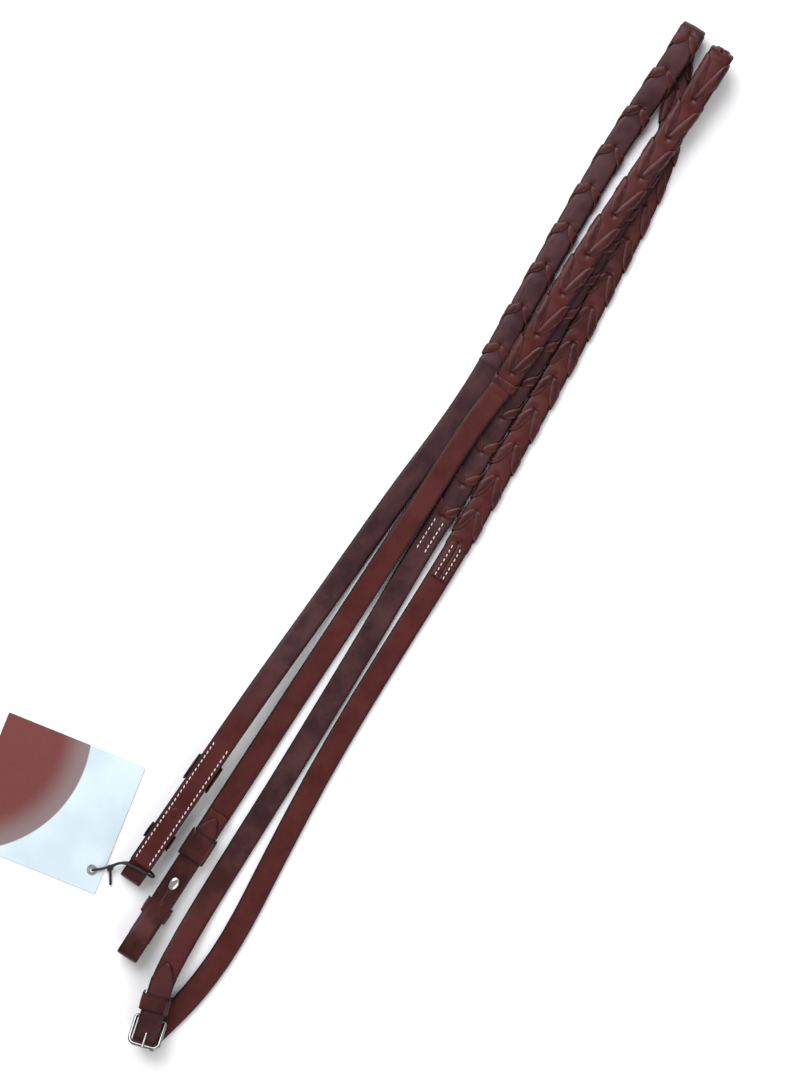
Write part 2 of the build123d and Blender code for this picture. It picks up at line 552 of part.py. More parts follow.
with BuildPart() as tag_eyelet:
    with BuildSketch(Plane.XY.offset(CARD_LIFT)):
        with Locations(TAG_HOLE):
            Circle(EYELET_R - 0.05)
            Circle(EYELET_BORE_R, mode=Mode.SUBTRACT)
    extrude(amount=CARD_THICK + 0.3)
    with BuildSketch(Plane.XY.offset(CARD_LIFT + CARD_THICK + 0.02)):
        with Locations(TAG_HOLE):
            Circle(EYELET_R + 0.9)
            Circle(EYELET_BORE_R, mode=Mode.SUBTRACT)
    extrude(amount=0.3)
keep(tag_eyelet.part, "tag_eyelet")

string_radii = corner_radii(STRING_ROUTE)
print("string radii", [round(radius, 1) for radius in string_radii])
with BuildPart() as tag_string:
    with BuildLine() as string_path:
        FilletPolyline(*STRING_ROUTE, radius=string_radii)
    with BuildSketch(Plane(origin=string_path.line @ 0, z_dir=string_path.line % 0)):
        Circle(STRING_D / 2)
    sweep()
length = string_path.wires()[0].length
ratio = tag_string.part.volume / (length * pi * STRING_D ** 2 / 4)
print(f"string {length:.1f} mm long, its volume is {ratio:.4f} of section times length")
keep(tag_string.part, "tag_string")

with BuildPart() as tag_knot:
    with Locations(KNOT):
        Sphere(KNOT_R)
keep(tag_knot.part, "tag_knot")

for strap in (off_rein_strap.part, off_rein_return, near_rein_strap.part, near_rein_return.part):
    box = strap.bounding_box()
    print(strap.label, "reaches from", box.min, "to", box.max)
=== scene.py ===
"""Laced leather reins, folded flat: straps, laces, billets, hook studs, hand buckle and swing tag.

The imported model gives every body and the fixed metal; the leather, lace, thread, cord and stage are
made here.  Routes are in millimetres in the model's own frame and are turned to metres on building:
+Y runs from the hand end to the top fold, +X across the bundle and +Z up from the table.
"""

import random
from bisect import bisect_right
from math import cos, exp, hypot, pi, radians, sin, tan

import bpy
from mathutils import Matrix, Vector


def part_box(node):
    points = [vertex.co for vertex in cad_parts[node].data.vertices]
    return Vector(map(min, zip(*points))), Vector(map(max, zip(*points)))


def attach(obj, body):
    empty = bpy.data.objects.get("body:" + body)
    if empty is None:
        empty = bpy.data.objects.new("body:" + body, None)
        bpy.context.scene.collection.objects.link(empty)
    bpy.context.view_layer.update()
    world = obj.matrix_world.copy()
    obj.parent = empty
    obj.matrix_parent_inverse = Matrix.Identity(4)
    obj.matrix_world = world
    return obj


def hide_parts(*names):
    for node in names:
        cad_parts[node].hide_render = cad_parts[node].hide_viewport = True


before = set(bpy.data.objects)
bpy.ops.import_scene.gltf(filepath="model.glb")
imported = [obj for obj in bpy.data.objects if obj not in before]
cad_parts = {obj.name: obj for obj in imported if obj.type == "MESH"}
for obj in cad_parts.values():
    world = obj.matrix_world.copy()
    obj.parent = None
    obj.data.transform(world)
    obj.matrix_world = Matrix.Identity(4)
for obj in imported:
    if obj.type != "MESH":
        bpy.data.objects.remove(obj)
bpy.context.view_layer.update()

bl_info = {
    "name": "Laced leather reins",
    "version": (1, 0, 0),
    "blender": (4, 5, 0),
    "location": "View3D > Sidebar > Reins",
    "description": "Builds laced leather reins with hook-stud billets, a hand buckle and a swing tag",
    "category": "Object",
}

MM = 0.001

# ---------------------------------------------------------------- the straps' routes, in mm
OFF_END, OFF_END_TURN, OFF_END_TOP = (-36.8, -290.0), 4.4, 14.4
NEAR_END, NEAR_END_TURN, NEAR_END_LIFT = (-13.4, -334.0), 2.9, 0.85
OFF_UP_PLAN = [
    (-35.73, -276.04), (-25.29, -140.44), (-17.9, -66), (-12, 0), (-9.2, 28), (-4.6, 64), (-1.2, 105),
    (-1.4, 160), (-2, 225), (-1.6, 285), (2.2, 335), (4.6, 360), (4.6, 386),
]
OFF_UP_SIDE = [
    (-276, 12.8), (-134, 12.8), (-60, 1.6), (84, 1.6), (112, 2.8), (285, 2.8), (338, 9.5), (362, 13.6),
    (380, 13.6), (380, 8.2),
]
OFF_DOWN_PLAN = [
    (4.6, 386), (4.6, 366), (15.5, 338), (29, 306), (34.4, 268), (37, 215), (39.6, 150), (39.8, 60),
    (40.2, 0), (38.2, -55), (36.2, -115), (36, -172), (38.4, -232), (40.8, -275), (40.4, -306),
    (36.4, -336), (30, -360), (25.6, -374), (24.2, -392),
]
OFF_DOWN_SIDE = [
    (380, 8.2), (380, 2.8), (-24, 2.8), (-50, 1.6), (-377.8, 1.6), (-377.8, 7.95),
]
BILLET_PLAN = [(26.2, -392), (23.7, -372), (20, -357), (12.2, -322), (11.3, -318)]
BILLET_SIDE = [(-377.8, 7.95), (-377.8, 14.3), (-322.5, 14.3)]
NEAR_UP_PLAN = [
    (-12.69, -320.02), (-6.32, -194.18), (-3.6, -145), (-0.2, -86), (1.5, -55), (4, -8), (6.3, 25),
    (7.4, 58), (9.6, 90), (13.4, 115), (15.4, 155), (17, 205), (20.4, 250), (24.4, 294), (27.2, 332),
    (28.4, 358), (28.4, 380),
]
NEAR_UP_SIDE = [
    (-320, 2.45), (-200, 2.45), (-140, 1.6), (-70, 1.6), (-12, 7.9), (44, 8.4), (90, 9.0), (108, 9.0),
    (168, 14.9), (318, 14.9), (358, 21.4), (374, 21.4), (374, 15.05),
]
NEAR_DOWN_PLAN = [
    (28.4, 380), (28.4, 350), (26.6, 318), (23.6, 255), (22.2, 195), (22.2, 60), (22, 28), (20.2, -4),
    (20, -60), (18.9, -120), (17.4, -185), (14.9, -250), (13.6, -300), (14.6, -334), (20.2, -358),
    (24.2, -374), (27.6, -387),
]
NEAR_DOWN_SIDE = [
    (374, 15.05), (374, 8.7), (160, 8.7), (98, 2.8), (-14, 2.8), (-40, 1.6), (-282, 1.6), (-328, 10.9),
    (-364, 10.9), (-364, 7.9),
]
TURNBACK_SIDE = [(-364, 7.9), (-364, 4.9), (-357.5, 4.9), (-350, 7.55), (-330, 7.55)]
OFF_TOP_R, NEAR_TOP_R, HAND_R, BAR_WRAP_R = 5.29, 6.22, 6.22, 2.94

# ---------------------------------------------------------------- the lace's holes, by place along Y
OFF_UP_HOLES = [138.6 + 30.0 * step for step in range(8)]
OFF_DOWN_HOLES = [11.0 + 25.4 * step for step in range(14)]
NEAR_UP_HOLES = [124.0 + 30.6 * step for step in range(8)]
NEAR_DOWN_HOLES = [20.2 + 25.2 * step for step in range(14)]
ARM_BACK = 8.5      # from a hole back to where the lace goes over the strap's edge
LACE_TAB = 28.0     # the lace's end beyond its last hole
LACE_WIDTH = 5.8    # the width that the rows of the lace's lay are written for
LACED_BEFORE, DENTED_BEYOND, DRAWN_BEYOND = 16.0, 8.0, 4.0
DENT_DEPTH, DENT_SPREAD = 1.15, 3.0
CROWN_HEIGHT, CROWN_SPREAD = 0.42, 5.5
PINCH_DEPTH, PINCH_LONG, STRAP_HALF = 0.45, 4.2, 7.8
START_FADE, END_FADE = 60.0, 90.0

# ---------------------------------------------------------------- the bit ends, in their own frames
BILLET_TIP, BILLET_LIES = 108.0, 7.2
BILLET_ROUTE = [
    (112, 4.5), (1.3, 4.5), (1.3, 13.1), (16, 13.1), (32, BILLET_LIES), (BILLET_TIP, BILLET_LIES),
]
BIT_LOOP_R, BILLET_POINT = 4.2, 11.0
KEEPER_HALF, KEEPER_FOOT, KEEPER_WALL, KEEPER_EASE = 8.75, 2.6, 1.35, 0.7
UPPER_KEEPER, LOWER_KEEPER = (86.0, 19.0), (36.0, 11.0)
UNDER_RETURN = 6.2  # the lower keeper holds the lining and passes under the turned-back billet
STUD_AT = 55.0
STITCH_START, STITCH_PITCH, STITCH_COUNT, STITCH_IN = 18.0, 3.4, 27, 2.6
LACE_STITCHES, LACE_SEWN_FROM, LACE_SEWN_ACROSS = 7, 5.0, 3.0
CHAPE_STITCHES, CHAPE_SEWN_IN = 5, 3.0
OFF_SEAT = (Matrix.Translation((OFF_END[0], OFF_END[1], OFF_END_TOP)) @ Matrix.Rotation(pi, 4, "Y")
            @ Matrix.Rotation(radians(OFF_END_TURN), 4, "Z"))
NEAR_SEAT = (Matrix.Translation((NEAR_END[0], NEAR_END[1], NEAR_END_LIFT))
             @ Matrix.Rotation(radians(-NEAR_END_TURN), 4, "Z"))
BUCKLE_SEAT = Matrix.Translation((20.9, -361.0, 7.9)) @ Matrix.Rotation(radians(194), 4, "Z")
BUCKLE_KEEPER = (-11.5, 11.0, 9.1, -2.4, 8.85)  # its middle, length, half width, foot and top

# ---------------------------------------------------------------- the tag's string
STRING_ROUTE = [
    (-46.5, -299.5, 1.0), (-49.0, -295.0, 1.3), (-51.6, -290.6, 3.0), (-50.6, -285.6, 7.4),
    (-47.4, -281.4, 11.8), (-42.6, -279.8, 13.5), (-36.2, -278.9, 13.8), (-29.8, -279.0, 13.5),
    (-25.0, -279.6, 11.6), (-24.0, -279.0, 8.2), (-26.8, -278.2, 5.9), (-31.6, -277.9, 5.4),
    (-37.6, -278.3, 5.8), (-44.2, -280.2, 5.6), (-49.2, -284.2, 5.0), (-52.8, -288.8, 3.2),
    (-56.2, -292.6, 2.2), (-59.4, -295.2, 2.5), (-62.0, -297.0, 1.95),
]
STRING_LENGTH, STRING_DIAMETER = 94.0, 1.8
KNOT = (-52.2, -289.9, 3.0)
FLESH, GRAIN = -1, 1


# ================================================================ settings
class ReinsSizes(bpy.types.PropertyGroup):
    """Sizes of the leather parts."""

    strap_width: bpy.props.FloatProperty(
        name="Strap width", description="Width of the rein leather", default=0.0156,
        min=0.01, max=0.03, unit="LENGTH")
    strap_thick: bpy.props.FloatProperty(
        name="Strap thickness", description="Thickness of the rein leather", default=0.0032,
        min=0.001, max=0.006, unit="LENGTH")
    lace_width: bpy.props.FloatProperty(
        name="Lace width", description="Width of the lace thong", default=0.0058,
        min=0.002, max=0.008, unit="LENGTH")
    lace_thick: bpy.props.FloatProperty(
        name="Lace thickness", description="Thickness of the lace thong", default=0.0011,
        min=0.0004, max=0.002, unit="LENGTH")
    billet_width: bpy.props.FloatProperty(
        name="Billet width", description="Width of the hook-stud billets", default=0.015,
        min=0.01, max=0.03, unit="LENGTH")
    billet_thick: bpy.props.FloatProperty(
        name="Billet thickness", description="Thickness of the billets", default=0.0026,
        min=0.001, max=0.005, unit="LENGTH")


class ReinsColours(bpy.types.PropertyGroup):
    """Colours of the leather, thread, metal and tag."""

    grain: bpy.props.FloatVectorProperty(
        name="Grain side", description="Dye of the leather's smooth side", subtype="COLOR",
        default=(0.034, 0.0125, 0.0145), min=0.0, max=1.0)
    # Also painted onto the grain face at the straps' ends as painted light, where no sheen falls.
    flesh: bpy.props.FloatVectorProperty(
        name="Flesh side", description="Colour of the leather's back", subtype="COLOR",
        default=(0.062, 0.0096, 0.0072), min=0.0, max=1.0)
    edge: bpy.props.FloatVectorProperty(
        name="Cut edge", description="Dressing of the cut edges", subtype="COLOR",
        default=(0.009, 0.0022, 0.0020), min=0.0, max=1.0)
    lace: bpy.props.FloatVectorProperty(
        name="Lace", description="Dye of the lace thong", subtype="COLOR",
        default=(0.036, 0.0062, 0.0054), min=0.0, max=1.0)
    # Painted highlight: a paler colour laid along the lace's edges.
    lace_highlight: bpy.props.FloatVectorProperty(
        name="Lace rim", description="Paler rubbed edge of the lace", subtype="COLOR",
        default=(0.070, 0.026, 0.022), min=0.0, max=1.0)
    billet: bpy.props.FloatVectorProperty(
        name="Billet", description="Dye of the billets and keepers", subtype="COLOR",
        default=(0.036, 0.0076, 0.0070), min=0.0, max=1.0)
    thread: bpy.props.FloatVectorProperty(
        name="Thread", description="Waxed linen thread", subtype="COLOR",
        default=(0.82, 0.78, 0.74), min=0.0, max=1.0)
    metal: bpy.props.FloatVectorProperty(
        name="Metal", description="Nickel plate", subtype="COLOR",
        default=(0.74, 0.73, 0.71), min=0.0, max=1.0)
    card: bpy.props.FloatVectorProperty(
        name="Card", description="Coated card of the swing tag", subtype="COLOR",
        default=(0.62, 0.74, 0.80), min=0.0, max=1.0)
    card_print: bpy.props.FloatVectorProperty(
        name="Card print", description="Plain printed area of the swing tag", subtype="COLOR",
        default=(0.15, 0.035, 0.032), min=0.0, max=1.0)
    cord: bpy.props.FloatVectorProperty(
        name="Cord", description="Waxed cord of the swing tag", subtype="COLOR",
        default=(0.010, 0.010, 0.013), min=0.0, max=1.0)


class ReinsStage(bpy.types.PropertyGroup):
    """Table, lights and camera."""

    camera_height: bpy.props.FloatProperty(
        name="Camera height", description="Height of the camera over the table", default=1.6,
        min=0.5, max=4.0, unit="LENGTH")
    view_height: bpy.props.FloatProperty(
        name="View height", description="Length of table that the picture takes in", default=0.7128,
        min=0.2, max=2.0, unit="LENGTH")
    view_turn: bpy.props.FloatProperty(
        name="View turn", description="Turn of the camera about the vertical", default=radians(30),
        subtype="ANGLE")
    softbox: bpy.props.FloatProperty(
        name="Softbox power", description="Power of the large soft light, in watts", default=62.0, min=0.0)
    fill: bpy.props.FloatProperty(
        name="Fill power", description="Power of the fill light, in watts", default=16.0, min=0.0)


# ================================================================ routes and surfaces
def rounded(points, tight=None, share=0.45, swing=0.14):
    """A plane route of straight runs joined by the largest tangent arcs, as closely spaced points."""
    path = [Vector(points[0])]
    for index in range(1, len(points) - 1):
        before, here, after = (Vector(point) for point in points[index - 1:index + 2])
        first, second = here - before, after - here
        turn = first.angle(second)
        run = min(first.length, second.length)
        radius = (tight or {}).get(index, share * run / tan(turn / 2))
        first.normalize()
        second.normalize()
        side = 1 if first.cross(second) > 0 else -1
        start = here - first * radius * tan(turn / 2)
        middle = start + Vector((-first.y, first.x)) * side * radius
        steps = max(2, int(turn / swing) + 2)
        for step in range(steps + 1):
            angle = side * turn * step / steps
            arm = start - middle
            path.append(middle + Vector((arm.x * cos(angle) - arm.y * sin(angle),
                                         arm.x * sin(angle) + arm.y * cos(angle))))
    path.append(Vector(points[-1]))
    return path


def spaced(path, step):
    """The same path as evenly spaced points."""
    lengths = [0.0]
    for first, second in zip(path, path[1:]):
        lengths.append(lengths[-1] + (second - first).length)
    count = max(2, round(lengths[-1] / step))
    points = []
    for index in range(count + 1):
        place = lengths[-1] * index / count
        at = min(max(bisect_right(lengths, place) - 1, 0), len(path) - 2)
        gap = lengths[at + 1] - lengths[at]
        share = (place - lengths[at]) / gap if gap else 0.0
        points.append(path[at].lerp(path[at + 1], share))
    return points


class Strip:
    """A strap's centre line, with the directions across it and out of its grain face, in mm."""

    def __init__(self, centres, across, grain=1, parts=()):
        self.centres, self.across, self.parts = centres, across, list(parts)
        self.places = [0.0]
        for first, second in zip(centres, centres[1:]):
            self.places.append(self.places[-1] + (second - first).length)
        self.length = self.places[-1]
        self.normals = []
        for index, side in enumerate(across):
            ahead = centres[min(index + 1, len(centres) - 1)] - centres[max(index - 1, 0)]
            self.normals.append(side.cross(ahead).normalized() * grain)

    @classmethod
    def from_limbs(cls, limbs, grain, step=1.3):
        """Join limbs, each a plan and a side profile, into one strap that keeps its left and right."""
        centres, across, parts = [], [], []
        for plan, plan_tight, side, side_tight in limbs:
            outline = sorted(((point.y, point.x) for point in rounded(plan, plan_tight)),
                             key=lambda pair: pair[0])
            heights = [pair[0] for pair in outline]
            start = len(centres)
            for point in spaced(rounded(side, side_tight), step)[1 if centres else 0:]:
                at = min(max(bisect_right(heights, point.x) - 1, 0), len(outline) - 2)
                (low, x_low), (high, x_high) = outline[at], outline[at + 1]
                lean = (x_high - x_low) / max(high - low, 1e-6)
                centres.append(Vector((x_low + lean * (point.x - low), point.x, point.y)))
                across.append(Vector((1, -lean, 0)).normalized())
            parts.append((start, len(centres) - 1))
        for _ in range(3):
            eased = [Vector((a.x + 2 * b.x + c.x, 0, 0)) / 4
                     for a, b, c in zip(centres, centres[1:], centres[2:])]
            for centre, ease in zip(centres[1:], eased):
                centre.x = ease.x
            sides = [(a + b * 2 + c).normalized() for a, b, c in zip(across, across[1:], across[2:])]
            across[1:-1] = sides
        return cls(centres, across, grain, parts)

    def place_of(self, part, along_y):
        """How far along the strap a limb passes a place on the Y axis."""
        first, last = self.parts[part]
        nearest = min(range(first, last), key=lambda index: abs(self.centres[index].y - along_y)
                      + (0.0 if first + 6 < index < last - 6 else 50.0))
        return self.places[nearest]

    def at(self, place):
        """Centre, direction across and direction out of the grain face at a distance along the strap."""
        index = min(max(bisect_right(self.places, place) - 1, 0), len(self.places) - 2)
        share = (place - self.places[index]) / (self.places[index + 1] - self.places[index])
        share = min(max(share, 0.0), 1.0)
        return (self.centres[index].lerp(self.centres[index + 1], share),
                self.across[index].lerp(self.across[index + 1], share).normalized(),
                self.normals[index].lerp(self.normals[index + 1], share).normalized())


class Outline:
    """A strap's rounded section, walked from mid flesh face over an edge to mid grain face."""

    def __init__(self, width, thick, round_r):
        self.width, self.thick, self.round_r = width, thick, round_r
        self.flat = width / 2 - round_r
        self.edge = thick - 2 * round_r
        self.arc = pi / 2 * round_r
        self.length = 2 * self.flat + 2 * self.arc + self.edge

    def at(self, walk):
        """Place across and out of the middle, and the outward direction there."""
        half, r = self.thick / 2, self.round_r
        if walk <= self.flat:
            return walk, -half, 0.0, -1.0
        walk -= self.flat
        if walk <= self.arc:
            angle = walk / r
            return self.flat + r * sin(angle), -half + r * (1 - cos(angle)), sin(angle), -cos(angle)
        walk -= self.arc
        if walk <= self.edge:
            return self.width / 2, -half + r + walk, 1.0, 0.0
        walk -= self.edge
        if walk <= self.arc:
            angle = walk / r
            return self.flat + r * cos(angle), half - r * (1 - sin(angle)), cos(angle), sin(angle)
        return self.flat - (walk - self.arc), half, 0.0, 1.0


def on_skin(strip, outline, place, walk, lift, side):
    """The point a lift above the strap's surface."""
    centre, across, out = strip.at(place)
    u, v, nu, nv = outline.at(walk)
    return centre + across * side * (u + nu * lift) + out * (v + nv * lift)


class Shell:
    """Points and faces of a mesh under construction, with rim and back values for each point."""

    def __init__(self):
        self.points, self.faces, self.rims, self.backs = [], [], [], []

    def rings(self, rings, rims, backs=None, capped=True):
        """Join rings of points, in mm, into a closed tube."""
        count, start = len(rings[0]), len(self.points)
        for ring in rings:
            self.points += [point * MM for point in ring]
        for index in range(len(rings)):
            self.rims += rims[index] if isinstance(rims[0], (list, tuple)) else rims
            self.backs += (backs[index] if backs and isinstance(backs[0], list) else backs) or [0.0] * count
        for index in range(len(rings) - 1):
            low, high = start + index * count, start + (index + 1) * count
            for corner in range(count):
                following = (corner + 1) % count
                self.faces.append((low + corner, low + following, high + following, high + corner))
        if capped:
            self.faces.append(tuple(start + corner for corner in reversed(range(count))))
            last = start + (len(rings) - 1) * count
            self.faces.append(tuple(last + corner for corner in range(count)))

    def piece(self, name, material, body="reins", replaces=()):
        """Make the Blender object, put it on its body and hide the imported parts that it stands for."""
        mesh = bpy.data.meshes.new(name)
        mesh.from_pydata(self.points, [], self.faces)
        mesh.validate()
        for label, values in (("rim", self.rims), ("back", self.backs)):
            layer = mesh.attributes.new(label, "FLOAT", "POINT")
            layer.data.foreach_set("value", values)
        mesh.shade_smooth()
        mesh.materials.append(material)
        made = bpy.data.objects.new(name, mesh)
        bpy.context.scene.collection.objects.link(made)
        if mesh_is_inside_out(mesh):
            mesh.flip_normals()
        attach(made, body)
        if replaces:
            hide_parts(*replaces)
        return made


def mesh_is_inside_out(mesh):
    """Whether the mesh's enclosed volume comes out negative."""
    mesh.calc_loop_triangles()
    total = 0.0
    for face in mesh.loop_triangles:
        a, b, c = (mesh.vertices[index].co for index in face.vertices)
        total += a.dot(b.cross(c))
    return total < 0


def swept_strap(shell, strip, outline, width_at, relief, back_value=1.0, no_sheen_at=None):
    """A strap with rounded edges.

    width_at narrows it, relief dents or swells its faces and the last argument reddens it with the flesh
    colour where no sheen falls: painted light, with the cooler grain colour elsewhere standing for the
    sheen.
    """
    face = [0.0, 0.5, 1.1, 1.9, outline.flat * 0.45, outline.flat * 0.75, outline.flat]
    walks = face + [outline.flat + outline.arc / 2, outline.flat + outline.arc]
    walks += [outline.length - walk for walk in reversed(walks[1:])]
    around = [(walk, 1) for walk in walks[1:]] + [(outline.length, 1)]
    around += [(walk, -1) for walk in reversed(walks[1:])] + [(0.0, 1)]
    rims, backs = [], []
    for walk, side in around:
        u, v, nu, nv = outline.at(walk)
        rims.append(min(max((u - outline.width / 2 + 2.1) / 1.5, 0.0), 1.0))
        backs.append(back_value if nv < -0.5 else 0.0)
    rings = []
    for place in strip.places:
        centre, across, out = strip.at(place)
        narrow = width_at(place)
        ring = []
        for walk, side in around:
            u, v, nu, nv = outline.at(walk)
            lift = relief(place, u * side, nv)
            ring.append(centre + across * side * (u * narrow + nu * lift) + out * (v + nv * lift))
        rings.append(ring)
    # Painted light: the grain face takes the flesh colour where no sheen falls and keeps the cooler grain
    # colour, standing for the sheen, elsewhere.
    if no_sheen_at:
        backs = [[max(value, no_sheen_at(place)) for value in backs] for place in strip.places]
    shell.rings(rings, rims, backs)


def curve_through(line, steps):
    """Smooth values through the given rows of numbers, one tuple for each step."""
    found = []
    rows = [line[0], *line, line[-1]]
    for a, b, c, d in zip(rows, rows[1:], rows[2:], rows[3:]):
        for step in range(steps):
            t = step / steps
            found.append(tuple(
                0.5 * (2 * q + (r - p) * t + (2 * p - 5 * q + 4 * r - s) * t * t
                       + (3 * q - p - 3 * r + s) * t ** 3)
                for p, q, r, s in zip(a, b, c, d)))
    found.append(tuple(line[-1]))
    return found


# The lace thong's section: across, height and rim value; the rim value lays the lace's painted highlight,
# mostly along its sides.
THONG = [(-0.5, 0.2, 1.0), (-0.47, 0.7, 1.0), (-0.36, 0.97, 0.55), (-0.12, 1.05, 0.0), (0.12, 1.05, 0.0),
         (0.36, 0.97, 0.55), (0.47, 0.7, 1.0), (0.5, 0.2, 1.0), (0.4, 0.0, 0.3), (-0.4, 0.0, 0.3)]


def laid_thong(shell, strip, outline, line, side, thick, steps=6):
    """A lace thong lying on a strap along rows of place, walk, lift and width."""
    spine = curve_through(line, steps)
    rings, rims = [], []
    for index, (place, walk, lift, wide) in enumerate(spine):
        ahead, behind = spine[min(index + 1, len(spine) - 1)], spine[max(index - 1, 0)]
        run, climb = ahead[0] - behind[0], ahead[1] - behind[1]
        size = hypot(run, climb) or 1.0
        ring = []
        for across, high, _ in THONG:
            ring.append(on_skin(strip, outline, place - climb / size * across * wide,
                                walk + run / size * across * wide, lift + high * thick, side))
        rings.append(ring)
        rims.append([rim for _, _, rim in THONG])
    shell.rings(rings, rims)


# ================================================================ materials
def node(tree, kind, settings=None, **inputs):
    """Add a shader node; its inputs are values or other nodes' outputs, named with _ for a space."""
    made = tree.nodes.new(kind)
    for key, value in (settings or {}).items():
        setattr(made, key, value)
    for key, value in inputs.items():
        name = key.replace("_", " ")
        socket = made.inputs[int(key[1:])] if key[0] == "i" and key[1:].isdigit() else made.inputs[name]
        if isinstance(value, bpy.types.NodeSocket):
            tree.links.new(value, socket)
        else:
            socket.default_value = value
    return made


def sum_of(tree, operation, first, second):
    """A Math node's result."""
    return node(tree, "ShaderNodeMath", {"operation": operation}, i0=first, i1=second).outputs[0]


def blended(tree, share, first, second):
    """Two colours mixed by a share."""
    made = node(tree, "ShaderNodeMix", {"data_type": "RGBA"}, i0=share, i6=first, i7=second)
    return made.outputs[2]


def shaped(tree, value, low, high, to_low, to_high):
    """A value mapped from one span to another and held within it."""
    return node(tree, "ShaderNodeMapRange", {"interpolation_type": "SMOOTHSTEP"}, Value=value,
                From_Min=low, From_Max=high, To_Min=to_low, To_Max=to_high).outputs[0]


def new_group(name, inputs, outputs):
    """A shader node group with named sockets, and its input and output nodes."""
    tree = bpy.data.node_groups.new(name, "ShaderNodeTree")
    for label, kind in inputs:
        tree.interface.new_socket(label, in_out="INPUT", socket_type=kind)
    for label, kind in outputs:
        tree.interface.new_socket(label, in_out="OUTPUT", socket_type=kind)
    return tree, tree.nodes.new("NodeGroupInput"), tree.nodes.new("NodeGroupOutput")


def leather_grain_group():
    """Pebbled grain, pores and slow mottling, for every leather."""
    if "Leather grain" in bpy.data.node_groups:
        return bpy.data.node_groups["Leather grain"]
    floats = "NodeSocketFloat"
    tree, given, result = new_group(
        "Leather grain", [("Pebble Scale", floats), ("Crease", floats)],
        [("Height", floats), ("Mottle", floats)])
    place = node(tree, "ShaderNodeTexCoord").outputs["Object"]
    pebbles = node(tree, "ShaderNodeTexVoronoi", {"feature": "SMOOTH_F1"}, Vector=place,
                   Scale=given.outputs["Pebble Scale"]).outputs["Distance"]
    pores = node(tree, "ShaderNodeTexNoise", Vector=place, Scale=2600.0, Detail=3.0).outputs["Fac"]
    creases = node(tree, "ShaderNodeTexNoise", Vector=place, Scale=240.0, Detail=5.0,
                   Distortion=0.8).outputs["Fac"]
    mottle = node(tree, "ShaderNodeTexNoise", Vector=place, Scale=46.0, Detail=6.0,
                  Roughness=0.62).outputs["Fac"]
    ruts = sum_of(tree, "MULTIPLY", creases, given.outputs["Crease"])
    high = sum_of(tree, "ADD", sum_of(tree, "MULTIPLY", pebbles, 0.6),
                  sum_of(tree, "MULTIPLY", pores, 0.35))
    tree.links.new(sum_of(tree, "ADD", high, ruts), result.inputs["Height"])
    tree.links.new(mottle, result.inputs["Mottle"])
    return tree


def edge_dressing_and_highlight_group():
    """How far a rim takes the rim colour, broken up so that it is uneven: edge dressing on straps and
    billets, a painted highlight on the lace.
    """
    if "Edge dressing and highlight" in bpy.data.node_groups:
        return bpy.data.node_groups["Edge dressing and highlight"]
    floats = "NodeSocketFloat"
    tree, given, result = new_group(
        "Edge dressing and highlight", [("Rim", floats), ("Unevenness", floats)], [("Mask", floats)])
    place = node(tree, "ShaderNodeTexCoord").outputs["Object"]
    patches = node(tree, "ShaderNodeTexNoise", Vector=place, Scale=310.0, Detail=4.0).outputs["Fac"]
    shift = sum_of(tree, "MULTIPLY", sum_of(tree, "SUBTRACT", patches, 0.5), given.outputs["Unevenness"])
    mask = shaped(tree, sum_of(tree, "ADD", given.outputs["Rim"], shift), 0.25, 0.9, 0.0, 1.0)
    tree.links.new(mask, result.inputs["Mask"])
    return tree


def new_material(name):
    """A material with its node tree and its Principled BSDF."""
    material = bpy.data.materials.new(name)
    material.use_nodes = True
    tree = material.node_tree
    return material, tree, tree.nodes["Principled BSDF"]


def leather(name, face, back, rim, pebble=1500.0, depth=0.00012, gloss=0.40, crease=0.8, unevenness=0.7):
    """Waxed leather: mottled dye, grain, its own back colour and rims in a rim colour, which is edge
    dressing on straps and billets and a painted highlight on the lace.
    """
    if name in bpy.data.materials:
        return bpy.data.materials[name]
    material, tree, surface = new_material(name)
    grain = node(tree, "ShaderNodeGroup", {"node_tree": leather_grain_group()}, Pebble_Scale=pebble,
                 Crease=crease)
    rims = node(tree, "ShaderNodeAttribute", {"attribute_name": "rim"}).outputs["Fac"]
    backs = node(tree, "ShaderNodeAttribute", {"attribute_name": "back"}).outputs["Fac"]
    dressed_and_highlit = node(tree, "ShaderNodeGroup", {"node_tree": edge_dressing_and_highlight_group()}, Rim=rims,
                  Unevenness=unevenness)
    mottle = shaped(tree, grain.outputs["Mottle"], 0.34, 0.68, 0.0, 1.0)
    deep = tuple(part * 0.62 for part in face) + (1,)
    warm = (face[0] * 1.45, face[1] * 1.35, face[2] * 1.3, 1)
    dyed = blended(tree, mottle, deep, warm)
    suede = blended(tree, mottle, tuple(part * 0.75 for part in back) + (1,), (*back, 1))
    # The back value picks the flesh colour: on the leather's back, and as painted light on the straps'
    # grain face at their ends, where no sheen falls.
    sided = blended(tree, backs, dyed, suede)
    # Rims take the rim colour: edge dressing on straps and billets, a painted highlight along the lace's
    # edges.
    tree.links.new(blended(tree, dressed_and_highlit.outputs["Mask"], sided, (*rim, 1)), surface.inputs["Base Color"])
    rough = shaped(tree, grain.outputs["Mottle"], 0.3, 0.7, gloss - 0.07, gloss + 0.12)
    tree.links.new(rough, surface.inputs["Roughness"])
    bump = node(tree, "ShaderNodeBump", Strength=0.55, Distance=depth, Height=grain.outputs["Height"])
    tree.links.new(bump.outputs["Normal"], surface.inputs["Normal"])
    surface.inputs["Specular IOR Level"].default_value = 0.34
    surface.inputs["Specular Tint"].default_value = (1.0, 0.66, 0.70, 1)
    return material


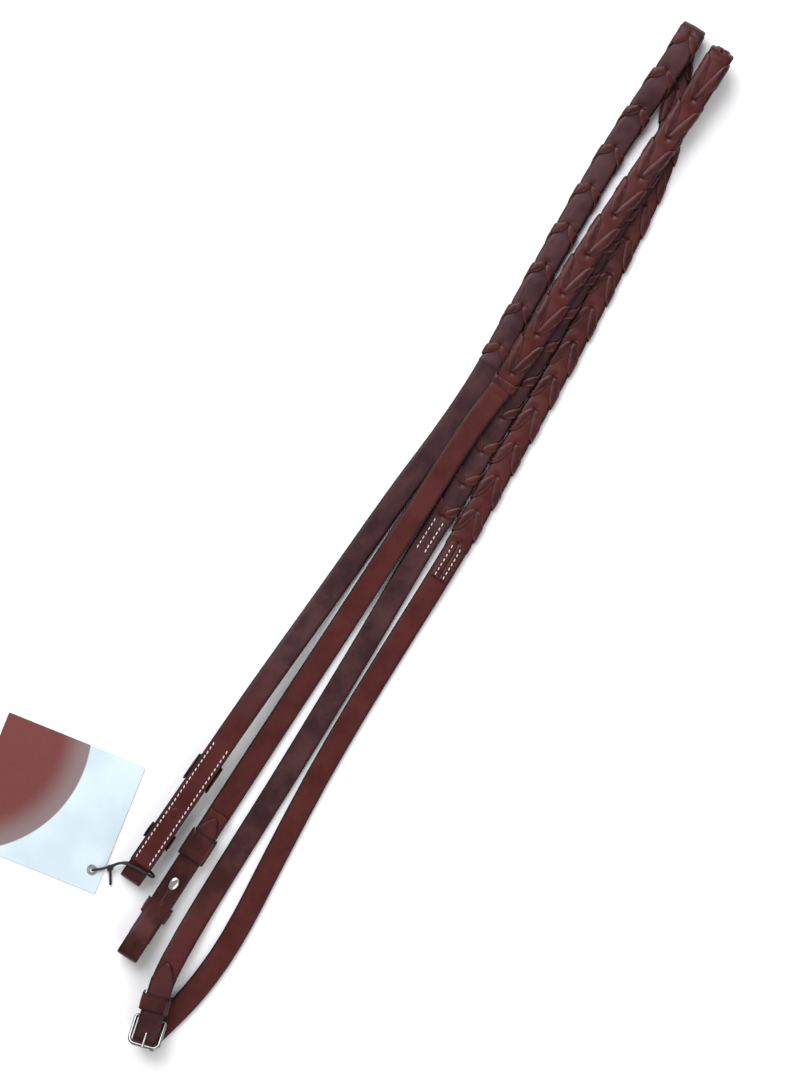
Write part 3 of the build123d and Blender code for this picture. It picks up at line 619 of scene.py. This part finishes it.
def nickel(colours, name="nickel plate", shade=1.0):
    """Plated metal with faint smudges and scratches; a lower shade is older, darker plate."""
    if name in bpy.data.materials:
        return bpy.data.materials[name]
    material, tree, surface = new_material(name)
    bright = tuple(part * shade for part in colours.metal)
    place = node(tree, "ShaderNodeTexCoord").outputs["Object"]
    smudge = node(tree, "ShaderNodeTexNoise", Vector=place, Scale=320.0, Detail=5.0).outputs["Fac"]
    stretch = node(tree, "ShaderNodeMapping", Vector=place, Scale=(400.0, 4200.0, 400.0)).outputs[0]
    scratch = node(tree, "ShaderNodeTexNoise", Vector=stretch, Scale=1.0, Detail=2.0).outputs["Fac"]
    tone = blended(tree, shaped(tree, smudge, 0.35, 0.7, 0.0, 1.0),
                   tuple(part * 0.72 for part in bright) + (1,), (*bright, 1))
    tree.links.new(tone, surface.inputs["Base Color"])
    tree.links.new(shaped(tree, smudge, 0.3, 0.75, 0.12, 0.30), surface.inputs["Roughness"])
    bump = node(tree, "ShaderNodeBump", Strength=0.15, Distance=0.00003, Height=scratch)
    tree.links.new(bump.outputs["Normal"], surface.inputs["Normal"])
    surface.inputs["Metallic"].default_value = 1.0
    return material


def spun(name, colour, rough, twist):
    """Thread or cord: a twisted yarn with fuzz."""
    if name in bpy.data.materials:
        return bpy.data.materials[name]
    material, tree, surface = new_material(name)
    place = node(tree, "ShaderNodeTexCoord").outputs["Object"]
    strands = node(tree, "ShaderNodeTexWave", {"bands_direction": "DIAGONAL"}, Vector=place, Scale=twist,
                   Distortion=1.2, Detail=2.0).outputs["Fac"]
    fuzz = node(tree, "ShaderNodeTexNoise", Vector=place, Scale=3000.0, Detail=3.0).outputs["Fac"]
    tone = blended(tree, strands, tuple(part * 0.62 for part in colour) + (1,), (*colour, 1))
    tree.links.new(tone, surface.inputs["Base Color"])
    tree.links.new(shaped(tree, fuzz, 0.3, 0.7, rough - 0.1, rough + 0.1), surface.inputs["Roughness"])
    high = sum_of(tree, "ADD", strands, sum_of(tree, "MULTIPLY", fuzz, 0.4))
    bump = node(tree, "ShaderNodeBump", Strength=0.6, Distance=0.0002, Height=high)
    tree.links.new(bump.outputs["Normal"], surface.inputs["Normal"])
    return material


def coated_card(colours):
    """Coated card with one plain printed area that ends in an arc, and a painted highlight band that pales
    the print towards the arc.
    """
    if "coated card" in bpy.data.materials:
        return bpy.data.materials["coated card"]
    material, tree, surface = new_material("coated card")
    low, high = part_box("tag_card")
    middle = (low[0] - 0.17 * (high[0] - low[0]), low[1] + 0.66 * (high[1] - low[1]), 0.0)
    place = node(tree, "ShaderNodeTexCoord").outputs["Object"]
    away = node(tree, "ShaderNodeVectorMath", {"operation": "DISTANCE"}, i0=place,
                i1=middle).outputs["Value"]
    fibre = node(tree, "ShaderNodeTexNoise", Vector=place, Scale=900.0, Detail=6.0).outputs["Fac"]
    cloud = node(tree, "ShaderNodeTexNoise", Vector=place, Scale=28.0, Detail=3.0).outputs["Fac"]
    paper = blended(tree, shaped(tree, cloud, 0.3, 0.7, 0.0, 1.0),
                    tuple(part * 0.88 for part in colours.card) + (1,), (*colours.card, 1))
    wide = high[0] - low[0]
    printed = shaped(tree, away, 0.745 * wide, 0.755 * wide, 1.0, 0.0)
    # Painted highlight: the print grows paler towards its arc edge, a highlight band painted on the card.
    highlight_band = shaped(tree, away, 0.55 * wide, 0.74 * wide, 0.0, 0.8)
    highlight_on_print = tuple(0.4 * part + 0.18 for part in colours.card_print) + (1,)
    print_with_highlight = blended(tree, highlight_band, (*colours.card_print, 1), highlight_on_print)
    tree.links.new(blended(tree, printed, paper, print_with_highlight), surface.inputs["Base Color"])
    tree.links.new(shaped(tree, fibre, 0.3, 0.7, 0.30, 0.42), surface.inputs["Roughness"])
    bump = node(tree, "ShaderNodeBump", Strength=0.2, Distance=0.00003, Height=fibre)
    tree.links.new(bump.outputs["Normal"], surface.inputs["Normal"])
    return material


def rein_leather(colours):
    """The straps' leather."""
    return leather("rein leather", colours.grain, colours.flesh, colours.edge)


def billet_leather(colours):
    """The billets' and keepers' leather, a little smoother."""
    return leather("billet leather", colours.billet, colours.flesh, colours.edge, pebble=1900.0,
                   depth=0.00008, gloss=0.34, crease=0.5)


def lace_leather(colours):
    """The lace's thin leather, with a paler painted highlight along its edges."""
    return leather("lace leather", colours.lace, colours.lace, colours.lace_highlight, pebble=2200.0,
                   depth=0.00008, gloss=0.38, crease=0.5, unevenness=1.5)


# ================================================================ the two halves
def off_strip():
    """The off half, from its bit end over the top fold to the point of its hand billet."""
    return Strip.from_limbs([
        (OFF_UP_PLAN, None, OFF_UP_SIDE, {8: OFF_TOP_R}),
        (OFF_DOWN_PLAN, None, OFF_DOWN_SIDE, {1: OFF_TOP_R, 4: HAND_R}),
        (BILLET_PLAN, None, BILLET_SIDE, {1: HAND_R}),
    ], 1)


def near_strip():
    """The near half, from its bit end over the top fold to its turned-back buckle chape."""
    return Strip.from_limbs([
        (NEAR_UP_PLAN, None, NEAR_UP_SIDE, {11: NEAR_TOP_R}),
        (NEAR_DOWN_PLAN, None, NEAR_DOWN_SIDE, {1: NEAR_TOP_R, 8: BAR_WRAP_R}),
        (NEAR_DOWN_PLAN, None, TURNBACK_SIDE, {1: BAR_WRAP_R}),
    ], -1)


def strap_outline(sizes):
    """Section of the rein leather."""
    return Outline(sizes.strap_width / MM, sizes.strap_thick / MM, 1.15)


def hole_places(strip, rising, falling):
    """Distances along a strap of its lace holes; those round the top fold lie evenly between the limbs'."""
    up = sorted(strip.place_of(0, hole) for hole in rising)
    down = sorted(strip.place_of(1, hole) for hole in falling)
    count = round((down[0] - up[-1]) / (up[1] - up[0]))
    return up + [up[-1] + (down[0] - up[-1]) * step / count for step in range(1, count)] + down


def nearest(values, place):
    """The value of an ordered list that is closest to a place."""
    index = bisect_right(values, place)
    return min(values[max(index - 1, 0):index + 1], key=lambda value: abs(value - place))


def laced_relief(holes):
    """Dents where the lace goes through or over the edge of a strap, and swells between them."""
    crossings = [hole - ARM_BACK for hole in holes]

    def relief(place, across, out):
        if not holes[0] - LACED_BEFORE < place < holes[-1] + DENTED_BEYOND:
            return 0.0
        hole = nearest(holes, place)
        lift = -DENT_DEPTH * exp(-((place - hole) ** 2 + across ** 2) / DENT_SPREAD) * abs(out)
        pull = exp(-((place - nearest(crossings, place)) / PINCH_LONG) ** 2)
        if place < holes[-1]:
            lift += CROWN_HEIGHT * (1 - pull) * exp(-(across / CROWN_SPREAD) ** 2)
        return lift - PINCH_DEPTH * pull * (abs(across) / STRAP_HALF) ** 2
    return relief


def laced_width(holes, place):
    """How the lace draws the strap in where it goes over the edges and lets it swell between."""
    if not holes[0] - LACED_BEFORE < place < holes[-1] + DRAWN_BEYOND:
        return 1.0
    pull = exp(-((place - nearest([hole - ARM_BACK for hole in holes], place)) / 5.0) ** 2)
    return 1.06 - 0.12 * pull


class REINS_OT_straps(bpy.types.Operator):
    """Make the two rein straps with their lace holes, rounded edges and pointed hand billet"""

    bl_idname = "reins.straps"
    bl_label = "Straps"

    def execute(self, context):
        outline = strap_outline(context.scene.reins_sizes)
        material = rein_leather(context.scene.reins_colours)
        # Each half: its name, strip, hole rows, point length, the spans at its start and end where the
        # grain face is reddened as painted light (no sheen), and the imported parts it stands for.
        halves = (
            ("off", off_strip(), (OFF_UP_HOLES, OFF_DOWN_HOLES), 12.0, 165.0, 60.0,
             ("off_rein_strap", "off_rein_return", "off_hand_billet")),
            ("near", near_strip(), (NEAR_UP_HOLES, NEAR_DOWN_HOLES), 0.0, 0.0, 190.0,
             ("near_rein_strap", "near_rein_return")),
        )
        for half, strip, rows, point, no_sheen_start, no_sheen_end, stands_for in halves:
            holes = hole_places(strip, *rows)

            def width_at(place):
                left = strip.length - place
                if left < point:
                    return max(0.16, (left / point) ** 0.62)
                return laced_width(holes, place)

            # Painted light: how far the grain face is reddened at the strap's ends, where no sheen falls.
            def no_sheen_at(place):
                near_start = (no_sheen_start - place) / START_FADE
                near_end = (place - strip.length + no_sheen_end) / END_FADE
                return min(max(near_start, near_end, 0.0), 1.0)

            shell = Shell()
            swept_strap(shell, strip, outline, width_at, laced_relief(holes), no_sheen_at=no_sheen_at)
            shell.piece(f"{half}_strap_leather", material, replaces=stands_for)
        return {"FINISHED"}


def lace_pitch(outline, hole, following, chance):
    """One pitch of the lace: out of a hole, along the flesh face, over the edge and back to the next."""
    flat, length = outline.flat, outline.length
    crossing = following - ARM_BACK + chance.uniform(-0.35, 0.35)
    reach = crossing - hole
    return [
        (hole - 0.4, 0.8, -1.7, 2.4), (hole + 1.6, 1.5, 0.0, 4.0),
        (hole + reach * 0.34, flat * 0.50, 0.22, 5.8),
        (hole + reach * 0.72, flat * 0.90, 0.20, 6.6),
        (crossing - 0.6, flat + 1.3, 0.12, 6.6), (crossing + 0.9, length - flat - 1.3, 0.12, 6.4),
        (crossing + 3.4, length - flat * 0.72, 0.20, 6.0), (following - 2.6, length - 2.5, 0.20, 5.0),
        (following - 0.9, length - 1.5, -0.20, 3.6), (following + 0.5, length - 0.8, -1.7, 2.4),
    ]


def lace_start(outline, first):
    """The lace's middle, straight over the flesh face, and its way to the first hole."""
    flat, length = outline.flat, outline.length
    crossing = first - ARM_BACK
    return [
        (crossing - 0.5, 0.0, 0.12, 5.8), (crossing - 0.5, flat * 0.6, 0.12, 5.8),
        (crossing - 0.4, flat + 1.3, 0.08, 5.8), (crossing + 0.9, length - flat - 1.3, 0.08, 5.8),
        (crossing + 3.4, length - flat * 0.72, 0.14, 5.7), (first - 2.6, length - 2.3, 0.12, 4.8),
        (first - 0.9, length - 1.3, -0.25, 3.4), (first + 0.5, length - 0.8, -1.7, 2.4),
    ]


def lace_finish(last):
    """One of the lace's two ends, laid straight along the flesh face."""
    return [(last - 0.4, 0.8, -1.7, 2.4), (last + 1.8, 1.9, 0.0, 4.4), (last + 6.0, 3.0, 0.12, 5.6),
            (last + 16.0, 3.0, 0.12, 5.7), (last + LACE_TAB, 3.0, 0.10, 5.6)]


class REINS_OT_laces(bpy.types.Operator):
    """Weave the doubled lace of each half over the edges and through the holes"""

    bl_idname = "reins.laces"
    bl_label = "Laces"

    def execute(self, context):
        sizes = context.scene.reins_sizes
        outline = strap_outline(sizes)
        material = lace_leather(context.scene.reins_colours)
        thick = sizes.lace_thick / MM
        scale = sizes.lace_width / MM / LACE_WIDTH
        for half, strip, rising, falling in (("off", off_strip(), OFF_UP_HOLES, OFF_DOWN_HOLES),
                                             ("near", near_strip(), NEAR_UP_HOLES, NEAR_DOWN_HOLES)):
            chance = random.Random(len(half))
            holes = hole_places(strip, rising, falling)
            shell = Shell()
            for side in (-1, 1):
                lines = [lace_start(outline, holes[0]), lace_finish(holes[-1])]
                lines += [lace_pitch(outline, hole, following, chance)
                          for hole, following in zip(holes, holes[1:])]
                for line in lines:
                    line = [(place, walk, lift, wide * scale) for place, walk, lift, wide in line]
                    laid_thong(shell, strip, outline, line, side, thick)
            shell.piece(f"{half}_lace_thong", material, replaces=(f"{half}_lace",))
        return {"FINISHED"}


# ================================================================ thread
def stitch(shell, seat, long=2.4, wide=0.85, high=0.42, lean=0.0):
    """One rounded stitch of twisted thread, bedded at both ends; its seat's Z points out of the leather."""
    seat = seat @ Matrix.Rotation(lean, 4, "Z")
    rings = []
    for step in range(9):
        share = step / 8 * 2 - 1
        full = (1 - abs(share) ** 2.6) ** 0.5 if abs(share) < 1 else 0.0
        ring = []
        for corner in range(8):
            angle = 2 * pi * corner / 8
            twist = 1 + 0.10 * sin(3 * angle + share * 5)
            ring.append(seat @ Vector((cos(angle) * wide / 2 * max(full, 0.12) * twist, share * long / 2,
                                       sin(angle) * high * max(full, 0.12) * twist)))
        rings.append(ring)
    shell.rings(rings, [0.0] * 8)


def seat_on(strip, place, across, face, lift):
    """A frame on one face of a strap, Y along it and Z out of it."""
    centre, beside, out = strip.at(place)
    along = strip.at(place + 1)[0] - strip.at(place - 1)[0]
    along.normalize()
    up = out * face
    side = along.cross(up)
    origin = centre + beside * across + out * lift
    return Matrix(((side.x, along.x, up.x, origin.x), (side.y, along.y, up.y, origin.y),
                   (side.z, along.z, up.z, origin.z), (0, 0, 0, 1)))


class REINS_OT_stitching(bpy.types.Operator):
    """Sew the billets, the lace's ends and the buckle chape with waxed thread"""

    bl_idname = "reins.stitching"
    bl_label = "Stitching"

    def execute(self, context):
        sizes = context.scene.reins_sizes
        colours = context.scene.reins_colours
        thread = spun("waxed linen thread", colours.thread, 0.55, 900.0)
        row = sizes.strap_width / MM / 2 - STITCH_IN
        half_thick = sizes.strap_thick / MM / 2
        chance = random.Random(3)
        for side_name, seat in (("off", OFF_SEAT), ("near", NEAR_SEAT)):
            shell = Shell()
            for step in range(STITCH_COUNT):
                for edge in (-1, 1):
                    spot = Matrix.Translation((edge * row, STITCH_START + STITCH_PITCH * step, -0.02))
                    stitch(shell, seat @ spot @ Matrix.Rotation(pi, 4, "Y"), high=0.33,
                           lean=0.22 + chance.uniform(-0.08, 0.08))
            shell.piece(f"{side_name}_billet_thread", thread,
                        replaces=(f"{side_name}_billet_stitching",))
        off, near = off_strip(), near_strip()
        lace_top = half_thick + sizes.lace_thick / MM + 0.08
        for side_name, strip, holes, face, lift in (
                ("off", off, OFF_DOWN_HOLES, FLESH, lace_top),
                ("near", near, NEAR_DOWN_HOLES, GRAIN, half_thick)):
            shell = Shell()
            last = strip.place_of(1, holes[0])
            for step in range(LACE_STITCHES):
                for edge in (-1, 1):
                    place = last + LACE_SEWN_FROM + STITCH_PITCH * step
                    seat = seat_on(strip, place, edge * LACE_SEWN_ACROSS, face, face * lift)
                    stitch(shell, seat, high=0.34, lean=0.2 + chance.uniform(-0.1, 0.1))
            shell.piece(f"{side_name}_lace_end_thread", thread,
                        replaces=(f"{side_name}_lace_stitching",))
        shell = Shell()
        for step in range(CHAPE_STITCHES):
            for edge in (-1, 1):
                place = near.length - CHAPE_SEWN_IN - STITCH_PITCH * step
                seat = seat_on(near, place, edge * row, GRAIN, half_thick + 0.02)
                stitch(shell, seat, high=0.33, lean=0.2)
        shell.piece("chape_thread", thread, replaces=("buckle_stitching",))
        return {"FINISHED"}


# ================================================================ bit ends and hand buckle
def local_strip(points, tight, seat, step=1.2):
    """A strip that runs in a bit end's own upright plane, placed by its seat."""
    turn = seat.to_3x3()
    path = spaced(rounded(points, tight), step)
    centres = [seat @ Vector((0, point.x, point.y)) for point in path]
    return Strip(centres, [turn @ Vector((1, 0, 0)) for _ in path], 1)


def pointed(strip, point):
    """Width of a strip that narrows to a rounded point at its far end."""
    def width_at(place):
        left = strip.length - place
        return 1.0 if left > point else max(0.14, (left / point) ** 0.62)
    return width_at


def keeper_loop(shell, seat, middle, long, half, low, high, wall):
    """A leather loop that goes up one side of the layers, over them and down the other."""
    turn = seat.to_3x3()
    route = [(-half, low), (-half, high), (half, high), (half, low)]
    path = spaced(rounded(route, {1: 2.2, 2: 2.2}), 0.8)
    centres = [seat @ Vector((point.x, middle, point.y)) for point in path]
    strip = Strip(centres, [turn @ Vector((0, 1, 0)) for _ in path], -1)
    outline = Outline(long, wall, 0.45)

    def relief(place, across, out):
        crown = 0.16 * (1 - (2 * across / long) ** 2)
        groove = -0.22 * exp(-((abs(across) - long / 2 + 1.5) / 0.35) ** 2)
        return (crown + groove) * (1 if out > 0.5 else 0)

    swept_strap(shell, strip, outline, lambda place: 1.0, relief, back_value=0.0)


def stud_shape(shell, seat):
    """Stem, collar and oval faceted head of a hook stud."""
    head, around = 9.25, 20
    rows = [(0.0, 1.6, 1.6, 0.0), (7.6, 1.6, 1.6, 0.0), (8.5, 1.9, 1.9, 0.2), (head - 0.4, 2.7, 4.2, 2.0),
            (head, 3.05, 4.65, 2.6), (head + 0.5, 3.1, 4.7, 2.7), (head + 1.05, 2.7, 4.2, 2.7),
            (head + 1.4, 1.9, 3.2, 2.7), (head + 1.6, 0.6, 1.2, 2.7)]
    rings = []
    for height, wide, long, forward in rows:
        rings.append([seat @ Vector((cos(2 * pi * step / around) * wide,
                                     STUD_AT + forward + sin(2 * pi * step / around) * long, height))
                      for step in range(around)])
    shell.rings(rings, [0.0] * around)


def leather_plug(shell, seat):
    """The low leather disc, skived thin, that covers the stud's riveted foot on the outer face."""
    around = 24
    rows = [(0.3, 3.4), (-0.10, 3.4), (-0.28, 2.9), (-0.38, 1.6), (-0.40, 0.3)]
    turns = [2 * pi * step / around for step in range(around)]
    rings = [[seat @ Vector((cos(turn) * wide, STUD_AT + sin(turn) * wide, high)) for turn in turns]
             for high, wide in rows]
    shell.rings(rings, [0.3] * around, [1.0] * around)


class REINS_OT_bit_ends(bpy.types.Operator):
    """Make the turned-back billets, their keepers and their hook studs"""

    bl_idname = "reins.bit_ends"
    bl_label = "Bit ends"

    def execute(self, context):
        sizes = context.scene.reins_sizes
        colours = context.scene.reins_colours
        hide, plate = billet_leather(colours), nickel(colours)
        outline = Outline(sizes.billet_width / MM, sizes.billet_thick / MM, 0.9)
        top = BILLET_LIES + outline.thick / 2 + 0.15
        for side_name, seat in (("off", OFF_SEAT), ("near", NEAR_SEAT)):
            strip = local_strip(BILLET_ROUTE, {1: BIT_LOOP_R, 2: BIT_LOOP_R}, seat)
            stud_place = strip.length - (BILLET_TIP - STUD_AT)

            def relief(place, across, out, at=stud_place):
                slit = exp(-(across / 0.55) ** 2) * (1 if at - 14 < place < at else 0)
                hole = exp(-((place - at) ** 2 + across ** 2) / 5.0)
                crown = 0.18 * (1 - (across / 7.5) ** 2)
                return crown * abs(out) - (0.7 * slit + 0.8 * hole) * abs(out)

            shell = Shell()
            swept_strap(shell, strip, outline, pointed(strip, BILLET_POINT), relief)
            shell.piece(f"{side_name}_billet_leather", hide,
                        replaces=(f"{side_name}_billet",))
            for label, (middle, long) in (("upper", UPPER_KEEPER), ("lower", LOWER_KEEPER)):
                shell = Shell()
                high = top + KEEPER_EASE if label == "upper" else UNDER_RETURN
                keeper_loop(shell, seat, middle, long, KEEPER_HALF, KEEPER_FOOT, high, KEEPER_WALL)
                shell.piece(f"{side_name}_{label}_loop", hide,
                            replaces=(f"{side_name}_{label}_keeper",))
            shell = Shell()
            stud_shape(shell, seat)
            shell.piece(f"{side_name}_stud", plate, replaces=(f"{side_name}_hook_stud",))
            shell = Shell()
            leather_plug(shell, seat)
            shell.piece(f"{side_name}_stud_plug", hide,
                        replaces=(f"{side_name}_stud_washer",))
        return {"FINISHED"}


def finish_node(carried, material):
    """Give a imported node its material."""
    carried.data.materials.clear()
    carried.data.materials.append(material)


class REINS_OT_hand_buckle(bpy.types.Operator):
    """Finish the hand buckle and make its keeper"""

    bl_idname = "reins.hand_buckle"
    bl_label = "Hand buckle"

    def execute(self, context):
        colours = context.scene.reins_colours
        plate = nickel(colours, "aged nickel plate", 0.42)
        for name in ("buckle_frame", "buckle_tongue"):
            finish_node(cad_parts[name], plate)
        shell = Shell()
        keeper_loop(shell, BUCKLE_SEAT, *BUCKLE_KEEPER, KEEPER_WALL)
        shell.piece("buckle_loop", billet_leather(colours),
                    replaces=("buckle_keeper",))
        return {"FINISHED"}


# ================================================================ the swing tag
def knot_line(steps):
    """A small overhand knot about the string's crossing."""
    points = []
    for step in range(steps):
        angle = 2 * pi * step / steps
        points.append(Vector(KNOT) + Vector((
            (sin(angle) + 2 * sin(2 * angle)) * 0.52, (cos(angle) - 2 * cos(2 * angle)) * 0.52,
            -sin(3 * angle) * 0.8)))
    return points


class REINS_OT_swing_tag(bpy.types.Operator):
    """Hang the swing tag on its knotted cord"""

    bl_idname = "reins.swing_tag"
    bl_label = "Swing tag"

    def execute(self, context):
        colours = context.scene.reins_colours
        finish_node(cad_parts["tag_card"], coated_card(colours))
        finish_node(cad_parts["tag_eyelet"], nickel(colours))
        black = spun("waxed black cord", colours.cord, 0.55, 700.0)
        line = bpy.data.curves.new("tag_cord", "CURVE")
        line.dimensions = "3D"
        line.bevel_depth = STRING_DIAMETER * MM / 2
        line.bevel_resolution = 4
        line.use_fill_caps = True
        line.resolution_u = 10
        spline = line.splines.new("NURBS")
        route = [Vector(point) * MM for point in reversed(STRING_ROUTE)]
        spline.points.add(len(route) - 1)
        for point, place in zip(spline.points, route):
            point.co = (*place, 1.0)
        spline.order_u = 3
        spline.use_endpoint_u = True
        line.materials.append(black)
        cord = bpy.data.objects.new("tag_cord", line)
        bpy.context.scene.collection.objects.link(cord)
        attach(cord, "reins")
        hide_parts("tag_string")
        shell = Shell()
        points = knot_line(54)
        rings = []
        for index, point in enumerate(points):
            ahead = (points[(index + 1) % len(points)] - points[index - 1]).normalized()
            side = ahead.cross(Vector((0.1, 0.2, 1))).normalized()
            up = side.cross(ahead)
            rings.append([point + (side * cos(pi * step / 4) + up * sin(pi * step / 4)) * 0.85
                          for step in range(8)])
        shell.rings(rings + [rings[0]], [0.0] * 8, capped=False)
        knot = shell.piece("tag_cord_knot", black, replaces=("tag_knot",))
        return {"FINISHED"}


# ================================================================ the stage
def soft_light(name, place, aim, size, power, tint):
    """A large soft area light."""
    data = bpy.data.lights.new(name, "AREA")
    data.shape = "RECTANGLE"
    data.size, data.size_y = size
    data.energy = power
    data.color = tint
    lamp = bpy.data.objects.new(name, data)
    lamp.location = place
    lamp.rotation_euler = (Vector(aim) - Vector(place)).to_track_quat("-Z", "Y").to_euler()
    bpy.context.scene.collection.objects.link(lamp)


class REINS_OT_stage(bpy.types.Operator):
    """Set the pale table, the soft lights and the camera over the reins"""

    bl_idname = "reins.stage"
    bl_label = "Stage"

    def execute(self, context):
        stage = context.scene.reins_stage
        aim = (0.00806, -0.0054, 0.0)
        mesh = bpy.data.meshes.new("table")
        reach, drop = 4.0, -0.0002
        corners = [(-reach, -reach, drop), (reach, -reach, drop),
                   (reach, reach, drop), (-reach, reach, drop)]
        mesh.from_pydata(corners, [], [(0, 1, 2, 3)])
        material, _, surface = new_material("pale table")
        surface.inputs["Base Color"].default_value = (0.93, 0.93, 0.93, 1)
        surface.inputs["Roughness"].default_value = 0.9
        surface.inputs["Specular IOR Level"].default_value = 0.1
        mesh.materials.append(material)
        table = bpy.data.objects.new("table", mesh)
        bpy.context.scene.collection.objects.link(table)
        soft_light("softbox", (-1.1, 0.9, 1.5), aim, (1.8, 1.8), stage.softbox, (0.95, 0.95, 1.0))
        soft_light("fill", (1.4, -0.9, 1.3), aim, (1.6, 1.6), stage.fill, (1.0, 0.98, 0.96))
        world = bpy.data.worlds.new("studio")
        world.use_nodes = True
        world.node_tree.nodes["Background"].inputs["Color"].default_value = (1, 1, 1, 1)
        world.node_tree.nodes["Background"].inputs["Strength"].default_value = 0.42
        context.scene.world = world
        context.scene.view_settings.view_transform = "Standard"
        data = bpy.data.cameras.new("camera")
        data.sensor_width = 36.0
        data.lens = 36.0 * stage.camera_height / stage.view_height
        camera = bpy.data.objects.new("camera", data)
        camera.location = (aim[0], aim[1], stage.camera_height)
        camera.rotation_euler = (0.0, 0.0, stage.view_turn)
        bpy.context.scene.collection.objects.link(camera)
        bpy.context.scene.camera = camera
        return {"FINISHED"}


class REINS_PT_panel(bpy.types.Panel):
    """Settings and builders of the reins"""

    bl_idname = "REINS_PT_panel"
    bl_label = "Reins"
    bl_space_type = "VIEW_3D"
    bl_region_type = "UI"
    bl_category = "Reins"

    def draw(self, context):
        for group in (context.scene.reins_sizes, context.scene.reins_colours, context.scene.reins_stage):
            box = self.layout.box()
            for name in group.__annotations__:
                box.prop(group, name)
        for operator in OPERATORS:
            self.layout.operator(operator.bl_idname)


OPERATORS = (REINS_OT_stage, REINS_OT_swing_tag, REINS_OT_straps, REINS_OT_laces, REINS_OT_bit_ends,
             REINS_OT_hand_buckle, REINS_OT_stitching)
CLASSES = (ReinsSizes, ReinsColours, ReinsStage, *OPERATORS, REINS_PT_panel)
SETTINGS = {"reins_sizes": ReinsSizes, "reins_colours": ReinsColours, "reins_stage": ReinsStage}


def register():
    """Register the classes and the settings."""
    for kind in CLASSES:
        bpy.utils.register_class(kind)
    for name, kind in SETTINGS.items():
        setattr(bpy.types.Scene, name, bpy.props.PointerProperty(type=kind))


def unregister():
    """Take the settings and the classes away again."""
    for name in SETTINGS:
        delattr(bpy.types.Scene, name)
    for kind in reversed(CLASSES):
        bpy.utils.unregister_class(kind)


def main():
    """Build everything in order."""
    register()
    bpy.ops.reins.stage()
    bpy.ops.reins.swing_tag()
    bpy.ops.reins.straps()
    bpy.ops.reins.laces()
    bpy.ops.reins.bit_ends()
    bpy.ops.reins.hand_buckle()
    bpy.ops.reins.stitching()


if __name__ == "__main__":
    main()
